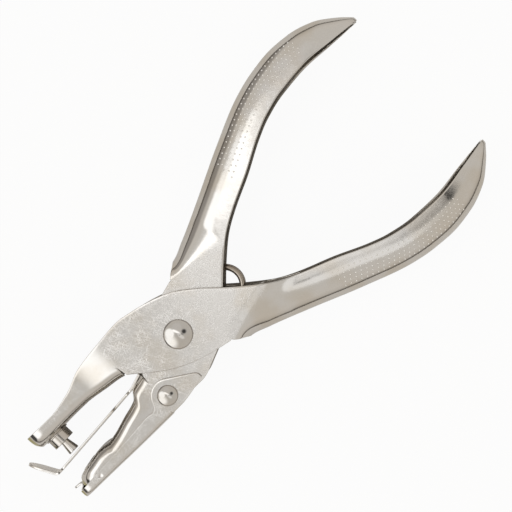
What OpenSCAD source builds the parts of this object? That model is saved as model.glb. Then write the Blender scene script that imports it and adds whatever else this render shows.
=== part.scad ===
// Plier-type single hole punch: two pressed channel levers on one rivet, with a punch, a die,
// a leaf stripper, a swinging chip cover and a torsion return spring.
// Millimetres. The main rivet's axis is Z, the handles point to +X, the tool lies on its side at Z = 0.

/* [Sheet] */
// Sheet thickness of the two levers
sheet_t = 1.2; // [1.0:0.05:1.4]
// Sheet thickness of the chip cover
cover_t = 0.8; // [0.6:0.05:1.0]
// Thickness of the stripper leaf
strip_t = 0.7; // [0.5:0.05:0.8]
// Outside width of the lever channels
channel_w = 14; // [13:0.25:16]
// Free gap between pieces that pass each other
play = 0.3; // [0.3:0.02:0.4]

/* [Handles] */
// Main rivet axis to the handle tips, along X
handle_len = 96.7; // [90:0.5:106]
// Middle line to the widest point of a handle
handle_spread = 36; // [33:0.5:39]
// Depth of a handle's channel at the grip, rim to web
grip_depth = 10.2; // [9.6:0.2:11]
// Outside bend radius along the handles
grip_bend = 6; // [5:0.25:6.25]

/* [Jaws] */
// Main rivet axis to the punch axis
punch_reach = 44.9; // [43:0.2:47]
// Jaw length beyond the punch axis
jaw_nose = 5.6; // [5.2:0.1:6]
// Radius to which the cheeks close in at a jaw's front end
nose_r = 6; // [5:0.25:6.5]
// Height of the upper jaw's web face above the main rivet axis
seat_y = 5.55; // [5.2:0.1:6.0]
// Outside bend radius along the jaws
jaw_bend = 2.6; // [2.2:0.1:3.0]

/* [Punch and die] */
// Cutting diameter of the punch
punch_d = 3.2; // [2.8:0.1:3.6]
// Diameter of the punch collar
collar_d = 6.4; // [5.8:0.1:6.8]
// Height of the punch collar below the jaw's web
collar_h = 3.1; // [2.8:0.1:3.3]
// Length of the tapered pin below the collar
pin_len = 3.7; // [3.5:0.1:3.8]
// Lever angle at which the punch meets the die
bite_deg = 6.9; // [6.6:0.1:7.1]
// Lever angle at the end of the squeeze, where the die is square to the punch
squeeze_deg = 9.5; // [9:0.1:9.5]

/* [Stripper] */
// Width of the stripper leaf
strip_w = 8.6; // [7.6:0.2:9.2]
// Length of the bent-up end tab
tab_len = 8.8; // [7.5:0.2:10]
// Width of the bent-up end tab
tab_w = 4.6; // [4:0.2:6]

/* [Chip cover] */
// Height of the cover's front wall
front_h = 3.1; // [2.8:0.1:3.4]
// Radius to which the cover's sides close in at the front
cover_nose_r = 4; // [3.4:0.2:4.4]
// Reach of the thumb lip in front of the wall
lip_reach = 2.6; // [2:0.1:3.2]
// Width of the thumb lip
lip_w = 3; // [2.4:0.2:4]

/* [Rivets] */
// Shank diameter of the main rivet
pivot_d = 5; // [4.5:0.1:5.5]
// Head diameter of the main rivet
pivot_head_d = 8.2; // [7.8:0.1:9]
// Shank diameter of the cover rivet
hinge_d = 3.2; // [2.8:0.1:3.6]
// Head diameter of the cover rivet
hinge_head_d = 5.8; // [5.4:0.1:6.4]

/* [Spring] */
// Wire diameter of the return spring
wire_d = 1.6; // [1.4:0.05:1.7]
// Outside radius of the spring coil
coil_out_r = 5.9; // [5.5:0.1:6.1]
// Full turns of the coil besides the part turn between its legs
coil_turns = 3; // [2:1:3]

/* [Hidden] */

// Small overlap, size of the cutters, and steps of the curves
eps = 0.02;
big = 80;
round_fn = 48;
dent_fn = 24;
bend_steps = 5;
corner_steps = 5;
nose_steps = 6;
dome_steps = 8;
window_steps = 18;
lever_steps = 3;
least_r = 0.1;

// Gaps of pieces that are fixed together, and of pieces that turn on a pin
seat_gap = 0.02;
run_fit = 0.05;

// Half widths of the layers at the main rivet, from the middle out
bore_half = channel_w / 2 - sheet_t;
inner_half = channel_w / 2;
cover_half = inner_half + play + cover_t;
lap_half = inner_half + play + sheet_t;

// Rivet heads and the height of the middle plane above the surface the tool lies on
head_share = 0.23;
pivot_head_h = head_share * pivot_head_d;
hinge_head_h = head_share * hinge_head_d;
mid_z = lap_half + seat_gap + pivot_head_h;

// Named places in plan
punch_x = -punch_reach;
jaw_x = punch_x - jaw_nose;
die_front_x = jaw_x + 1.5;
neck_x = -18.2;
joggle_x = -17.4;
joggle_len = 7.8;
lap_end_x = 20;
lap_fade = 6;
hinge_at = [-14.2, -9.45];
shelf_a = [-20.5, -1.47];
shelf_b = [-15.6, 0];

// Smooth curve through points with rising x; it never overshoots and keeps level runs level
function knot(p, x, i = 0) = i >= len(p) - 2 || x <= p[i + 1][0] ? i : knot(p, x, i + 1);
function rise(p, i) = (p[i + 1][1] - p[i][1]) / (p[i + 1][0] - p[i][0]);
function mix_rise(a, b) = a * b <= 0 ? 0 : 2 * a * b / (a + b);
function lean(p, i) = i <= 0 ? rise(p, 0)
    : i >= len(p) - 1 ? rise(p, len(p) - 2)
    : mix_rise(rise(p, i - 1), rise(p, i));
function hermite(a, b, m, n, u) = a * (2 * u * u * u - 3 * u * u + 1) + m * (u * u * u - 2 * u * u + u)
    + b * (3 * u * u - 2 * u * u * u) + n * (u * u * u - u * u);
function curve(p, x) = let (i = knot(p, x), w = p[i + 1][0] - p[i][0], u = min(1, max(0, (x - p[i][0]) / w)))
    hermite(p[i][1], p[i + 1][1], lean(p, i) * w, lean(p, i + 1) * w, u);
function slope(p, x) = (curve(p, x + eps) - curve(p, x - eps)) / (2 * eps);
function span(a, b, n) = [for (i = [0:n]) a + (b - a) * i / n];
function turn(v, a) = [v[0] * cos(a) - v[1] * sin(a), v[0] * sin(a) + v[1] * cos(a)];
function upside_down(p) = [p[0], -p[1]];

// Handle lines, web below the middle line: shares of the length and of the spread
handle_web = [for (s = [[0.126, 0.417], [0.19, 0.475], [0.30, 0.6], [0.46, 0.79], [0.60, 0.935],
                        [0.675, 0.98], [0.755, 1], [0.83, 0.98], [0.905, 0.915], [0.965, 0.80], [1, 0.708]])
              [s[0] * handle_len, -s[1] * handle_spread]];
handle_rim = [for (s = [[0.30, 0.370], [0.36, 0.490], [0.46, 0.652], [0.56, 0.835], [0.62, 0.920],
                        [0.70, 0.984], [0.80, 1.007], [0.90, 0.970], [1, 0.930]])
              [s[0] * handle_len, -s[1] * (handle_spread - grip_depth)]];
handle_half = [for (s = [[0.79, 1], [0.89, 0.9], [0.955, 0.7], [1, 0.35]])
               [s[0] * handle_len, s[1] * inner_half]];

// Pivot cheek, shared by both levers: its rim, and its free edge where the web is cut away
cheek_rim = [[-4.5, 13.5], [1, 11.9], [6.3, 9.6], [11.6, 5.7], [17.6, 0], [22, -4]];
window_edge = [[-12.3, -2.25], [-7.4, -5.85], [-2, -8.5], [2.85, -10.2], [8.4, -11]];
punch_window = concat([[neck_x, 2.9], [-15.75, 0.8]], window_edge);
die_window = concat([[-15.75, 1.5], [-14.4, -0.4]], window_edge);

// Sheared start of a handle's web beside the pivot cheek, and the relief notch in its corner
shear_line = [[9.3, -11.2], [12.3, -0.43 * handle_spread], [13.8, -big / 2]];
notch_at = [8.6, -11.1];
notch_d = 1.7;

// Where the web is cut away its line runs at this height, outside the cheeks
cut_line = -20;
cut_end_x = 6;

// Half width along a front end whose sides close in on an arc
nose_deg = 60;
function nose_half(front, full, r) = [for (a = span(nose_deg, 0, nose_steps))
    [front + r * (sin(nose_deg) - sin(a)), full - r * (1 - cos(a))]];
function nose_len(r) = r * sin(nose_deg);

// Punch lever lines: the web runs below the rim all along
punch_web = concat([[jaw_x, seat_y + 1.1], [jaw_x + 1.4, seat_y], [jaw_x + nose_len(nose_r), seat_y],
                    [punch_x + collar_d / 2 + 1, seat_y], [-32, seat_y - 0.35], [-25.3, seat_y - 1.5],
                    [neck_x - eps, seat_y - 3.1], [neck_x + 1.2, cut_line], [cut_end_x, cut_line]],
                   handle_web);
punch_rim = concat([[jaw_x, seat_y + 4.75], [-40.4, seat_y + 4.25], [-33, seat_y + 5.45], [-26, seat_y + 7.8],
                    [-18, seat_y + 8.55], [-10, 14.5]], cheek_rim, handle_rim);
punch_half = concat(nose_half(jaw_x, inner_half, nose_r),
                    [[joggle_x - joggle_len, inner_half], [joggle_x, lap_half], [0, lap_half],
                     [lap_end_x, lap_half], [lap_end_x + lap_fade, inner_half]], handle_half);

// Slot in the punch lever's neck for the stripper leaf
slot_x = neck_x - 2.4;
slot_len = 4;
slot_top = 6;

// Punch: shank and tail in the jaw, then flange, collar and a pin that widens to its cutting end
shank_d = 0.62 * collar_d;
tail_d = shank_d + 1.6;
tail_h = 0.9;
tail_edge = 0.5;
flange_out = 0.45;
flange_h = 0.35;
waist_d = 0.72 * punch_d;
waist_h = 0.3;
land_h = 0.5;

// Die: where the punch tip meets it
tip_y = seat_y - collar_h - pin_len;
die_at = turn([punch_x, tip_y], bite_deg);
die_d = 1.6 * punch_d;
die_proud = 0.25;
die_len = 2.4;
die_edge = 0.2;
die_flare = 0.5;
die_flare_h = 0.8;
die_bore_d = punch_d + 2 * play;

// Die lever lines, drawn upside down so that the web lies below the rim there too
function die_seat(x) = [x, die_proud - die_at[1] - (x - die_at[0]) * tan(squeeze_deg)];
die_web = concat([[die_front_x, 9.6], [die_front_x + 0.4, 8.6], [die_front_x + 0.9, 7.75]],
                 [for (s = [-0.47, 0, 0.6]) die_seat(die_at[0] + s * die_d)],
                 [die_seat(-39.4) + [0, 0.06], [-37.2, 6.3], [-35.7, 6.7], [-33.1, 6.4], [-27.9, 5.1],
                  [-22.6, 3.75], [-21.6, 2.8], upside_down(shelf_a), upside_down(shelf_b),
                  [shelf_b[0] + 1.2, cut_line], [cut_end_x, cut_line]], handle_web);
die_rim = concat([[die_front_x, 11.3], [-39.3, 11.8], [-29.6, 12.3], [-20, 12.6], [-12, 13.5], [-8, 13.4]],
                 cheek_rim, handle_rim);
die_half = concat(nose_half(die_front_x, inner_half, nose_r), [[0, inner_half], [lap_end_x, inner_half]],
                  handle_half);

// Bend radius along both levers
bend_line = [[jaw_x, jaw_bend], [neck_x + 1, jaw_bend], [10.2, grip_bend], [handle_len, grip_bend]];

// Stations along a lever: every control point of its web line and the steps between them
function stations(p, n) = concat(
    [for (i = [0:len(p) - 2]) each [for (k = [0:n - 1]) p[i][0] + (p[i + 1][0] - p[i][0]) * k / n]],
    [p[len(p) - 1][0]]);

// One cross-section of a channel: outside from rim to rim, then the inside back again
function u_ring(x, web, rim, half, bend, t, k) = let (
        r = min(bend, min(half, rim - web) - least_r),
        in_y = max(least_r, r - t * k),
        in_z = max(least_r, r - t),
        arc = span(0, 90, bend_steps),
        out = concat([[rim, half]], [for (a = arc) [web + r - r * sin(a), half - r + r * cos(a)]]),
        inn = concat([[rim, half - r + in_z]],
                     [for (a = arc) [web + r - in_y * sin(a), half - r + in_z * cos(a)]]),
        n = len(out) - 1)
    concat([for (q = out) [x, q[0], q[1]]],
           [for (i = [0:n]) [x, out[n - i][0], -out[n - i][1]]],
           [for (q = inn) [x, q[0], -q[1]]],
           [for (i = [0:n]) [x, inn[n - i][0], inn[n - i][1]]]);

// Closed skin over rings of equal count; each end is a strip between the ring's outside and inside
function skin(rings) = let (m = len(rings[0]), s = len(rings)) concat(
    [for (i = [0:s - 2]) each [for (j = [0:m - 1]) each let (a = i * m + j, b = i * m + (j + 1) % m)
        [[a, a + m, b], [b, a + m, b + m]]]],
    [for (j = [0:m / 2 - 2]) each [[j, j + 1, m - 1 - j], [j + 1, m - 2 - j, m - 1 - j]]],
    [for (j = [0:m / 2 - 2]) each let (e = (s - 1) * m)
        [[e + j, e + m - 1 - j, e + j + 1], [e + j + 1, e + m - 1 - j, e + m - 2 - j]]]);

// Sheet keeps its thickness on a sloping web up to this stretch
most_stretch = 1.6;

// Pressed channel along a web line
module channel(xs, web, rim, half, bend, t) {
    rings = [for (x = xs) u_ring(x, curve(web, x), curve(rim, x), curve(half, x), curve(bend, x), t,
                                 min(most_stretch, sqrt(1 + pow(slope(web, x), 2))))];
    polyhedron(points = [for (r = rings) each r], faces = skin(rings));
}

// Everything on the web side of the free edge round the main rivet, as far as the handle's web
module web_window(edge) {
    left_x = edge[0][0];
    steps = [for (x = span(left_x, edge[len(edge) - 1][0], window_steps)) [x, curve(edge, x)]];
    translate([0, 0, -big / 2])
        linear_extrude(height = big)
            polygon(concat([[left_x, -big / 2]], steps, shear_line));
}

// Round bar through the middle plane
module post(at, d, h) {
    translate([at[0], at[1], -h / 2])
        cylinder(h = h, d = d, $fn = round_fn);
}

// Round thing on an axis that points down into the die
module on_axis(at, lean_deg) {
    translate([at[0], at[1], 0])
        rotate([0, 0, lean_deg])
            rotate([90, 0, 0])
                children();
}

// Domed rivet: one shank and a spherical cap of the stated height on each end
module rivet(d, head_d, head_h, grip_half) {
    ball_r = (head_d * head_d / 4 + head_h * head_h) / (2 * head_h);
    ball_z = grip_half + head_h - ball_r;
    dome = [for (a = span(asin(head_d / 2 / ball_r), 0, dome_steps))
            [ball_r * sin(a), ball_z + ball_r * cos(a)]];
    profile = concat([[0, 0], [d / 2, 0], [d / 2, grip_half], [head_d / 2, grip_half]], dome);
    rotate_extrude($fn = round_fn)
        polygon(profile);
    rotate([180, 0, 0])
        rotate_extrude($fn = round_fn)
            polygon(profile);
}

module punch_lever() {
    color([0.8, 0.78, 0.74])
        translate([0, 0, mid_z])
            difference() {
                channel(stations(punch_web, lever_steps), punch_web, punch_rim, punch_half, bend_line,
                        sheet_t);
                web_window(punch_window);
                post(notch_at, notch_d, big);
                translate([slot_x, slot_top - big / 2, -strip_w / 2 - play])
                    cube([slot_len, big / 2, strip_w + 2 * play]);
                post([0, 0], pivot_d + 2 * seat_gap, big);
                on_axis([punch_x, seat_y + 2 * sheet_t], 0)
                    cylinder(h = 3 * sheet_t, d = shank_d + 2 * seat_gap, $fn = round_fn);
            }
}

module die_lever() {
    color([0.78, 0.76, 0.72])
        translate([0, 0, mid_z])
            difference() {
                rotate([180, 0, 0])
                    channel(stations(die_web, lever_steps), die_web, die_rim, die_half, bend_line, sheet_t);
                rotate([180, 0, 0])
                    web_window(die_window);
                post(upside_down(notch_at), notch_d, big);
                post([0, 0], pivot_d + 2 * run_fit, big);
                post(hinge_at, hinge_d + 2 * seat_gap, big);
                on_axis(die_at + turn([0, sheet_t], squeeze_deg), squeeze_deg)
                    cylinder(h = die_len + 2 * sheet_t, d = die_d + 2 * seat_gap, $fn = round_fn);
            }
}

module pivot_rivet() {
    color([0.82, 0.8, 0.76])
        translate([0, 0, mid_z])
            rivet(pivot_d, pivot_head_d, pivot_head_h, lap_half + seat_gap);
}

// Spacer on the main rivet between the inner cheeks
sleeve_wall = 1.4;

module pivot_sleeve() {
    color([0.7, 0.69, 0.66])
        translate([0, 0, mid_z])
            difference() {
                post([0, 0], pivot_d + 2 * sleeve_wall, 2 * (bore_half - seat_gap));
                post([0, 0], pivot_d + 2 * run_fit, big);
            }
}

module punch_pin() {
    tail = -sheet_t - 2 * seat_gap;
    flange_r = collar_d / 2 + flange_out;
    tip = collar_h + pin_len;
    color([0.72, 0.71, 0.69])
        translate([0, 0, mid_z])
            on_axis([punch_x, seat_y - seat_gap], 0)
                rotate_extrude($fn = round_fn)
                    polygon([[0, tail - tail_h], [tail_d / 2 - tail_edge, tail - tail_h],
                             [tail_d / 2, tail - tail_h + tail_edge], [tail_d / 2, tail], [shank_d / 2, tail],
                             [shank_d / 2, 0], [flange_r, 0], [flange_r, flange_h], [collar_d / 2, flange_h],
                             [collar_d / 2, collar_h], [waist_d / 2, collar_h],
                             [waist_d / 2, collar_h + waist_h], [punch_d / 2, tip - land_h],
                             [punch_d / 2, tip], [0, tip]]);
}

module die_bush() {
    bore_r = die_bore_d / 2;
    color([0.68, 0.67, 0.65])
        translate([0, 0, mid_z])
            on_axis(die_at, squeeze_deg)
                rotate_extrude($fn = round_fn)
                    polygon([[bore_r, 0], [die_d / 2 - die_edge, 0], [die_d / 2, die_edge],
                             [die_d / 2, die_len], [bore_r + die_flare, die_len],
                             [bore_r, die_len - die_flare_h]]);
}

// Thick line through points: each inner corner is mitred
function dir(a, b) = (b - a) / norm(b - a);
function side(v) = [-v[1], v[0]];
function miter(p, i) = i == 0 ? side(dir(p[0], p[1]))
    : i == len(p) - 1 ? side(dir(p[i - 1], p[i]))
    : let (a = side(dir(p[i - 1], p[i])), b = side(dir(p[i], p[i + 1])), m = a + b) m * 2 / (m * m);
function band(p, t) = concat([for (i = [0:len(p) - 1]) p[i] + miter(p, i) * t / 2],
                             [for (i = [len(p) - 1:-1:0]) p[i] - miter(p, i) * t / 2]);

// Points of a round corner of radius r at b between a and c
function corner(a, b, c, r) = let (
        u = dir(b, a),
        v = dir(b, c),
        half = acos(max(-1, min(1, u * v))) / 2,
        m = b + (u + v) / norm(u + v) * r / sin(half),
        p = b + u * r / tan(half) - m,
        q = b + v * r / tan(half) - m,
        s = sign(p[0] * q[1] - p[1] * q[0]))
    [for (i = [0:corner_steps]) m + turn(p, s * (180 - 2 * half) * i / corner_steps)];

// Stripper: side line of the leaf from its shelf on the die lever to the front edge, then the tab
shelf_deg = atan2(shelf_b[1] - shelf_a[1], shelf_b[0] - shelf_a[0]);
leaf_deg = 2.65;
tab_deg = 117;
leaf_lift = seat_gap + strip_t / 2;
leaf_inset = 0.4;
root_bend_r = 3;
tab_bend_r = 1.4;
root_b = shelf_b + turn([-leaf_inset, leaf_lift], shelf_deg);
root_a = shelf_a + turn([0, leaf_lift], shelf_deg);
leaf_x = jaw_x - 1.9;
leaf_b = [leaf_x, root_a[1] + (leaf_x - root_a[0]) * tan(leaf_deg)];
tab_b = leaf_b + turn([tab_len, 0], tab_deg);

// Openings of the leaf: the hole for the punch, and the waist that lets it bend
leaf_hole_d = punch_d + 4 * play;
waist_a = -28.2;
waist_b = -22.2;
waist_in = 0.16 * strip_w;

// One side of the tab in its own plane, tip at the origin: shoulder, straight part and round end
tab_round = 0.52 * tab_len;
tab_shoulder = 1.2;
tab_cut_h = 8;
tab_side = concat([[-tab_len - tab_shoulder, strip_w / 2 + eps], [-tab_len, tab_w / 2]],
                  [for (a = span(90, 0, corner_steps)) [tab_round * (cos(a) - 1), tab_w / 2 * sin(a)]]);

module tab_trim() {
    other_side = [for (i = [len(tab_side) - 2:-1:0]) upside_down(tab_side[i])];
    translate([tab_b[0], tab_b[1], 0])
        rotate([0, 0, tab_deg])
            rotate([90, 0, 0])
                linear_extrude(height = tab_cut_h, center = true)
                    difference() {
                        translate([-tab_len - tab_shoulder, -strip_w])
                            square([tab_len + strip_w, 2 * strip_w]);
                        polygon(concat(tab_side, other_side));
                    }
}

module stripper() {
    line = concat([root_b], corner(root_b, root_a, leaf_b, root_bend_r),
                  corner(root_a, leaf_b, tab_b, tab_bend_r), [tab_b]);
    color([0.76, 0.75, 0.72])
        translate([0, 0, mid_z])
            difference() {
                translate([0, 0, -strip_w / 2])
                    linear_extrude(height = strip_w)
                        polygon(band(line, strip_t));
                for (s = [-1, 1])
                    translate([(waist_a + waist_b) / 2, 0, s * strip_w / 2])
                        cube([waist_b - waist_a, big, 2 * waist_in], center = true);
                on_axis([punch_x, big / 2], 0)
                    cylinder(h = big, d = leaf_hole_d, $fn = round_fn);
                tab_trim();
            }
}

// Chip cover: a shallow channel below the lower jaw, with ears round the cover rivet
cover_x = die_front_x - cover_t - play;
cover_y = -12.7;
cover_end_x = -4.2;
cover_web = [[cover_x, cover_y], [-39.3, -13.15], [-29.6, -13.65], [-17, -14.1], [-13, -14.2], [-7.2, -13.5],
             [cover_end_x, -12.9]];
cover_rim_y = -4;
cover_bend = 1.2;
cover_web_end = -16.8;
cover_steps = 8;
ear_x = -15;
ear_r = 4.6;
ear_steps = 10;
ear_corner_r = 0.7;

// Trimmed top edge of the cover: along the jaw, round the rivet and down to the ear's low end
ear_arc = [for (a = span(160, 60, ear_steps)) hinge_at + turn([ear_r, 0], a)];
cover_top = concat([[cover_x - 1, -10.5], [-45, -10.15], [-30, -9.75], [-20.6, -9.35]], ear_arc,
                   corner(ear_arc[ear_steps], [-4.1, -11], [-4.3, -13.2], ear_corner_r),
                   [[-4.6, -13.4], [0, -13.4], [0, 0], [cover_x - 1, 0]]);

// Thumb lip: side line up the front wall and forward
lip_x = cover_x + cover_t / 2;
lip_foot = [lip_x, cover_y + 0.5];
lip_knee = [lip_x, cover_y + front_h + 0.6];
lip_end = lip_knee + [-lip_reach, 0.3];
lip_r = 1;

// Small dimple in each side of the cover
dimple_at = [-42.85, -11.3];
dimple_r = 0.7;
dimple_out = 0.45;

module cover_shell() {
    nose = nose_half(cover_x, cover_half, cover_nose_r);
    run = span(nose[nose_steps][0], cover_web_end, cover_steps);
    xs = concat([for (i = [0:nose_steps - 1]) nose[i][0]], run, span(ear_x, cover_end_x, nose_steps));
    difference() {
        channel(xs, cover_web, [[cover_x, cover_rim_y], [0, cover_rim_y]], concat(nose, [[0, cover_half]]),
                [[cover_x, cover_bend], [0, cover_bend]], cover_t);
        translate([0, 0, -big / 2])
            linear_extrude(height = big)
                polygon(cover_top);
        translate([cover_web_end, -big / 2, 2 * eps - cover_half + cover_t])
            cube([big / 2, big, 2 * (cover_half - cover_t) - 4 * eps]);
    }
}

module chip_cover() {
    wall_half = cover_half - cover_nose_r * (1 - cos(nose_deg)) - cover_t / 2;
    lip = concat([lip_foot], corner(lip_foot, lip_knee, lip_end, lip_r), [lip_end]);
    color([0.8, 0.79, 0.75])
        translate([0, 0, mid_z])
            difference() {
                union() {
                    cover_shell();
                    translate([0, 0, -lip_w / 2])
                        linear_extrude(height = lip_w)
                            polygon(band(lip, cover_t));
                    translate([cover_x, cover_y + cover_t / 2, -wall_half])
                        cube([cover_t, front_h - cover_t / 2, 2 * wall_half]);
                }
                post(hinge_at, hinge_d + 2 * run_fit, big);
                for (s = [-1, 1])
                    translate([dimple_at[0], dimple_at[1], s * (cover_half + dimple_out)])
                        sphere(r = dimple_r, $fn = dent_fn);
            }
}

module cover_rivet() {
    color([0.82, 0.8, 0.76])
        translate([hinge_at[0], hinge_at[1], mid_z])
            rivet(hinge_d, hinge_head_d, hinge_head_h, cover_half + seat_gap);
}

// Return spring: one wire from a foot inside one handle's web, round the coil, to the other handle
coil_at = [17.6, 0];
coil_r = coil_out_r - wire_d / 2;
leg_deg = 37;
leg_pull = 14;
leg_steps = 10;
foot_steps = 4;
foot_a = 0.42 * handle_len;
foot_b = 0.50 * handle_len;
coil_start = 90 + leg_deg;
coil_deg = 360 * coil_turns + 360 - 2 * coil_start;
coil_step_deg = 15;
coil_steps = ceil(coil_deg / coil_step_deg);
coil_gap = 0.5;
coil_half = (wire_d + coil_gap) * coil_deg / 720;
wire_sides = 6;
function coil_point(a, z) = [coil_at[0] + coil_r * cos(a), coil_at[1] + coil_r * sin(a), z];
function foot(x) = let (k = sqrt(1 + pow(slope(handle_web, x), 2)))
    [x, -curve(handle_web, x) - (sheet_t + wire_d / 2 + seat_gap) * k, 0];
function bezier(p, u) = p[0] * pow(1 - u, 3) + 3 * p[1] * u * pow(1 - u, 2)
    + 3 * p[2] * u * u * (1 - u) + p[3] * pow(u, 3);

// Control points of a leg between its foot and the coil; the share kept clear of both ends
leg_root = coil_point(coil_start, coil_half);
leg_curve = [foot(foot_a), foot(foot_a) - dir(foot(foot_a), foot(foot_b)) * leg_pull / 2,
             leg_root + [cos(leg_deg), sin(leg_deg), 0] * leg_pull, leg_root];
leg_clear = 0.08;
leg = concat([for (x = span(foot_b, foot_a, foot_steps)) foot(x)],
             [for (u = span(leg_clear, 1 - leg_clear, leg_steps)) bezier(leg_curve, u)]);
coil = [for (u = span(0, 1, coil_steps)) coil_point(coil_start + coil_deg * u, coil_half * (1 - 2 * u))];
wire = concat(leg, coil, [for (i = [len(leg) - 1:-1:0]) [leg[i][0], -leg[i][1], -leg[i][2]]]);

// Least free gap of the wire to itself, between points more than half a turn apart
far_steps = 180 / coil_step_deg + 1;
function least_span(i) = min([for (j = [i + far_steps:len(wire) - 1]) norm(wire[i] - wire[j])]);
wire_gap = min([for (i = [0:len(wire) - 1 - far_steps]) least_span(i)]) - wire_d;
echo(wire_gap = wire_gap);

// Tube round a line of points
function unit(v) = v / norm(v);
function tube_ring(p, i, r, n) = let (
        t = unit(p[min(i + 1, len(p) - 1)] - p[max(i - 1, 0)]),
        a = unit(cross([0, 0, 1], t)),
        b = cross(t, a))
    [for (k = [0:n - 1]) p[i] + r * (cos(360 * k / n) * a + sin(360 * k / n) * b)];
function tube_cell(i, j, n) = let (a = i * n + j, b = i * n + (j + 1) % n) [[a, b, a + n], [b, b + n, a + n]];

module tube(p, r, n) {
    rings = [for (i = [0:len(p) - 1]) tube_ring(p, i, r, n)];
    last = (len(p) - 1) * n;
    polyhedron(points = [for (q = rings) each q],
               faces = concat([for (i = [0:len(p) - 2]) each [for (j = [0:n - 1]) each tube_cell(i, j, n)]],
                              [for (k = [1:n - 2]) [0, k + 1, k]],
                              [for (k = [1:n - 2]) [last, last + k, last + k + 1]]));
}

module return_spring() {
    color([0.62, 0.6, 0.57])
        translate([0, 0, mid_z])
            tube(wire, wire_d / 2, wire_sides);
}

punch_lever();
die_lever();
pivot_rivet();
pivot_sleeve();
punch_pin();
die_bush();
stripper();
chip_cover();
cover_rivet();
return_spring();
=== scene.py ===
"""Plier-type single hole punch in plated pressed steel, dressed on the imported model."""
import logging
import math
from collections.abc import Callable, Iterator, Sequence
from contextlib import contextmanager
from dataclasses import dataclass
from enum import Enum

import bmesh
import bpy
import numpy as np
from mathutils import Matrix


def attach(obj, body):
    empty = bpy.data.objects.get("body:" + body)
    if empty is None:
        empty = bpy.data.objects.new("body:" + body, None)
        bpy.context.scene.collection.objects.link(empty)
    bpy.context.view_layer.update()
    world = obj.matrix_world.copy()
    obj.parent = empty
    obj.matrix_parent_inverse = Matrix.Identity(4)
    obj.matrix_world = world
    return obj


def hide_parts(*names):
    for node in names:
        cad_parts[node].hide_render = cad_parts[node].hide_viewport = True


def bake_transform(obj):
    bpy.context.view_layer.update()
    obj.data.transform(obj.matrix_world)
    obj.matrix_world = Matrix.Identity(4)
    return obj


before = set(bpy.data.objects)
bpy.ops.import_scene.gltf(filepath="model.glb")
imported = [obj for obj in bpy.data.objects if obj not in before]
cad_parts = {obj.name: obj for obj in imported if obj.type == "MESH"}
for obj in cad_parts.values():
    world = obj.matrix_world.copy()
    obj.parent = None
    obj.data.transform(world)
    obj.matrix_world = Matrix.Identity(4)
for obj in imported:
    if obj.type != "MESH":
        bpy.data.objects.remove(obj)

MM = 0.001
SAME_POINT = 2e-6
NO_LENGTH = 1e-7
HEAD_SHARE = 0.23
LOG = logging.getLogger("hole_punch")
Point = tuple[float, float]
Spot = tuple[float, float, float]


class Body(Enum):
    """Moving bodies of the punch."""

    DIE = "die_lever"
    PUNCH = "punch_lever"
    LEAF = "stripper"
    COVER = "chip_cover"


class Slot(Enum):
    """Material slots of the record; each piece is passed one, but its finish comes from the material given
    with it.
    """

    PLATE = "nickel_plate"
    RIVET = "rivet_steel"
    TOOL = "tool_steel"
    LEAF = "leaf_steel"
    WIRE = "spring_wire"


@dataclass(frozen=True)
class Line:
    """Smooth line through points with rising x that never overshoots and keeps level runs level."""

    points: tuple[Point, ...]

    def _rise(self, i: int) -> float:
        """Slope of the straight run after point i."""
        (x0, y0), (x1, y1) = self.points[i], self.points[i + 1]
        return (y1 - y0) / (x1 - x0)

    def _lean(self, i: int) -> float:
        """Slope of the smooth line at point i.

        Args:
            i: Index of the point.

        Returns:
            The slope; 0 at a peak or a hollow.
        """
        last = len(self.points) - 1
        if i == 0 or i == last:
            return self._rise(min(i, last - 1))
        a, b = self._rise(i - 1), self._rise(i)
        return 0.0 if a * b <= 0 else 2 * a * b / (a + b)

    def at(self, x: float) -> float:
        """Height of the line at x, level beyond its ends.

        Args:
            x: Place along the line.

        Returns:
            The height.
        """
        p = self.points
        i = 0
        while i < len(p) - 2 and x > p[i + 1][0]:
            i += 1
        w = p[i + 1][0] - p[i][0]
        u = min(1.0, max(0.0, (x - p[i][0]) / w))
        m, n = self._lean(i) * w, self._lean(i + 1) * w
        return (p[i][1] * (2 * u**3 - 3 * u**2 + 1) + m * (u**3 - 2 * u**2 + u)
                + p[i + 1][1] * (3 * u**2 - 2 * u**3) + n * (u**3 - u**2))

    def slope(self, x: float) -> float:
        """Slope of the line at x."""
        return (self.at(x + 0.02) - self.at(x - 0.02)) / 0.04


def smooth_step(low: float, high: float, x: float) -> float:
    """Smooth rise from 0 at low to 1 at high."""
    u = min(1.0, max(0.0, (x - low) / (high - low)))
    return u * u * (3 - 2 * u)


def turned(v: Sequence[float], deg: float) -> np.ndarray:
    """A plan vector turned by an angle in degrees."""
    c, s = math.cos(math.radians(deg)), math.sin(math.radians(deg))
    return np.array([v[0] * c - v[1] * s, v[0] * s + v[1] * c])


def round_corner(a: Sequence[float], b: Sequence[float], c: Sequence[float], r: float,
                 n: int) -> list[np.ndarray]:
    """Points of a round corner at b on the way from a to c.

    Args:
        a: Plan point before the corner.
        b: The corner.
        c: Plan point after the corner.
        r: Corner radius.
        n: Number of steps along the arc.

    Returns:
        The arc's points in order.
    """
    a, b, c = (np.asarray(p, float) for p in (a, b, c))
    u, v = (a - b) / np.linalg.norm(a - b), (c - b) / np.linalg.norm(c - b)
    half = math.acos(max(-1.0, min(1.0, float(u @ v)))) / 2
    middle = b + (u + v) / np.linalg.norm(u + v) * r / math.sin(half)
    first, last = b + u * r / math.tan(half) - middle, b + v * r / math.tan(half) - middle
    sense = math.copysign(1.0, first[0] * last[1] - first[1] * last[0])
    sweep = sense * (180 - 2 * math.degrees(half))
    return [middle + turned(first, sweep * i / n) for i in range(n + 1)]


def run_length(path: np.ndarray) -> np.ndarray:
    """Distance along a path at each of its points."""
    return np.concatenate([[0.0], np.cumsum(np.linalg.norm(np.diff(path, axis=0), axis=1))])


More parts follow.
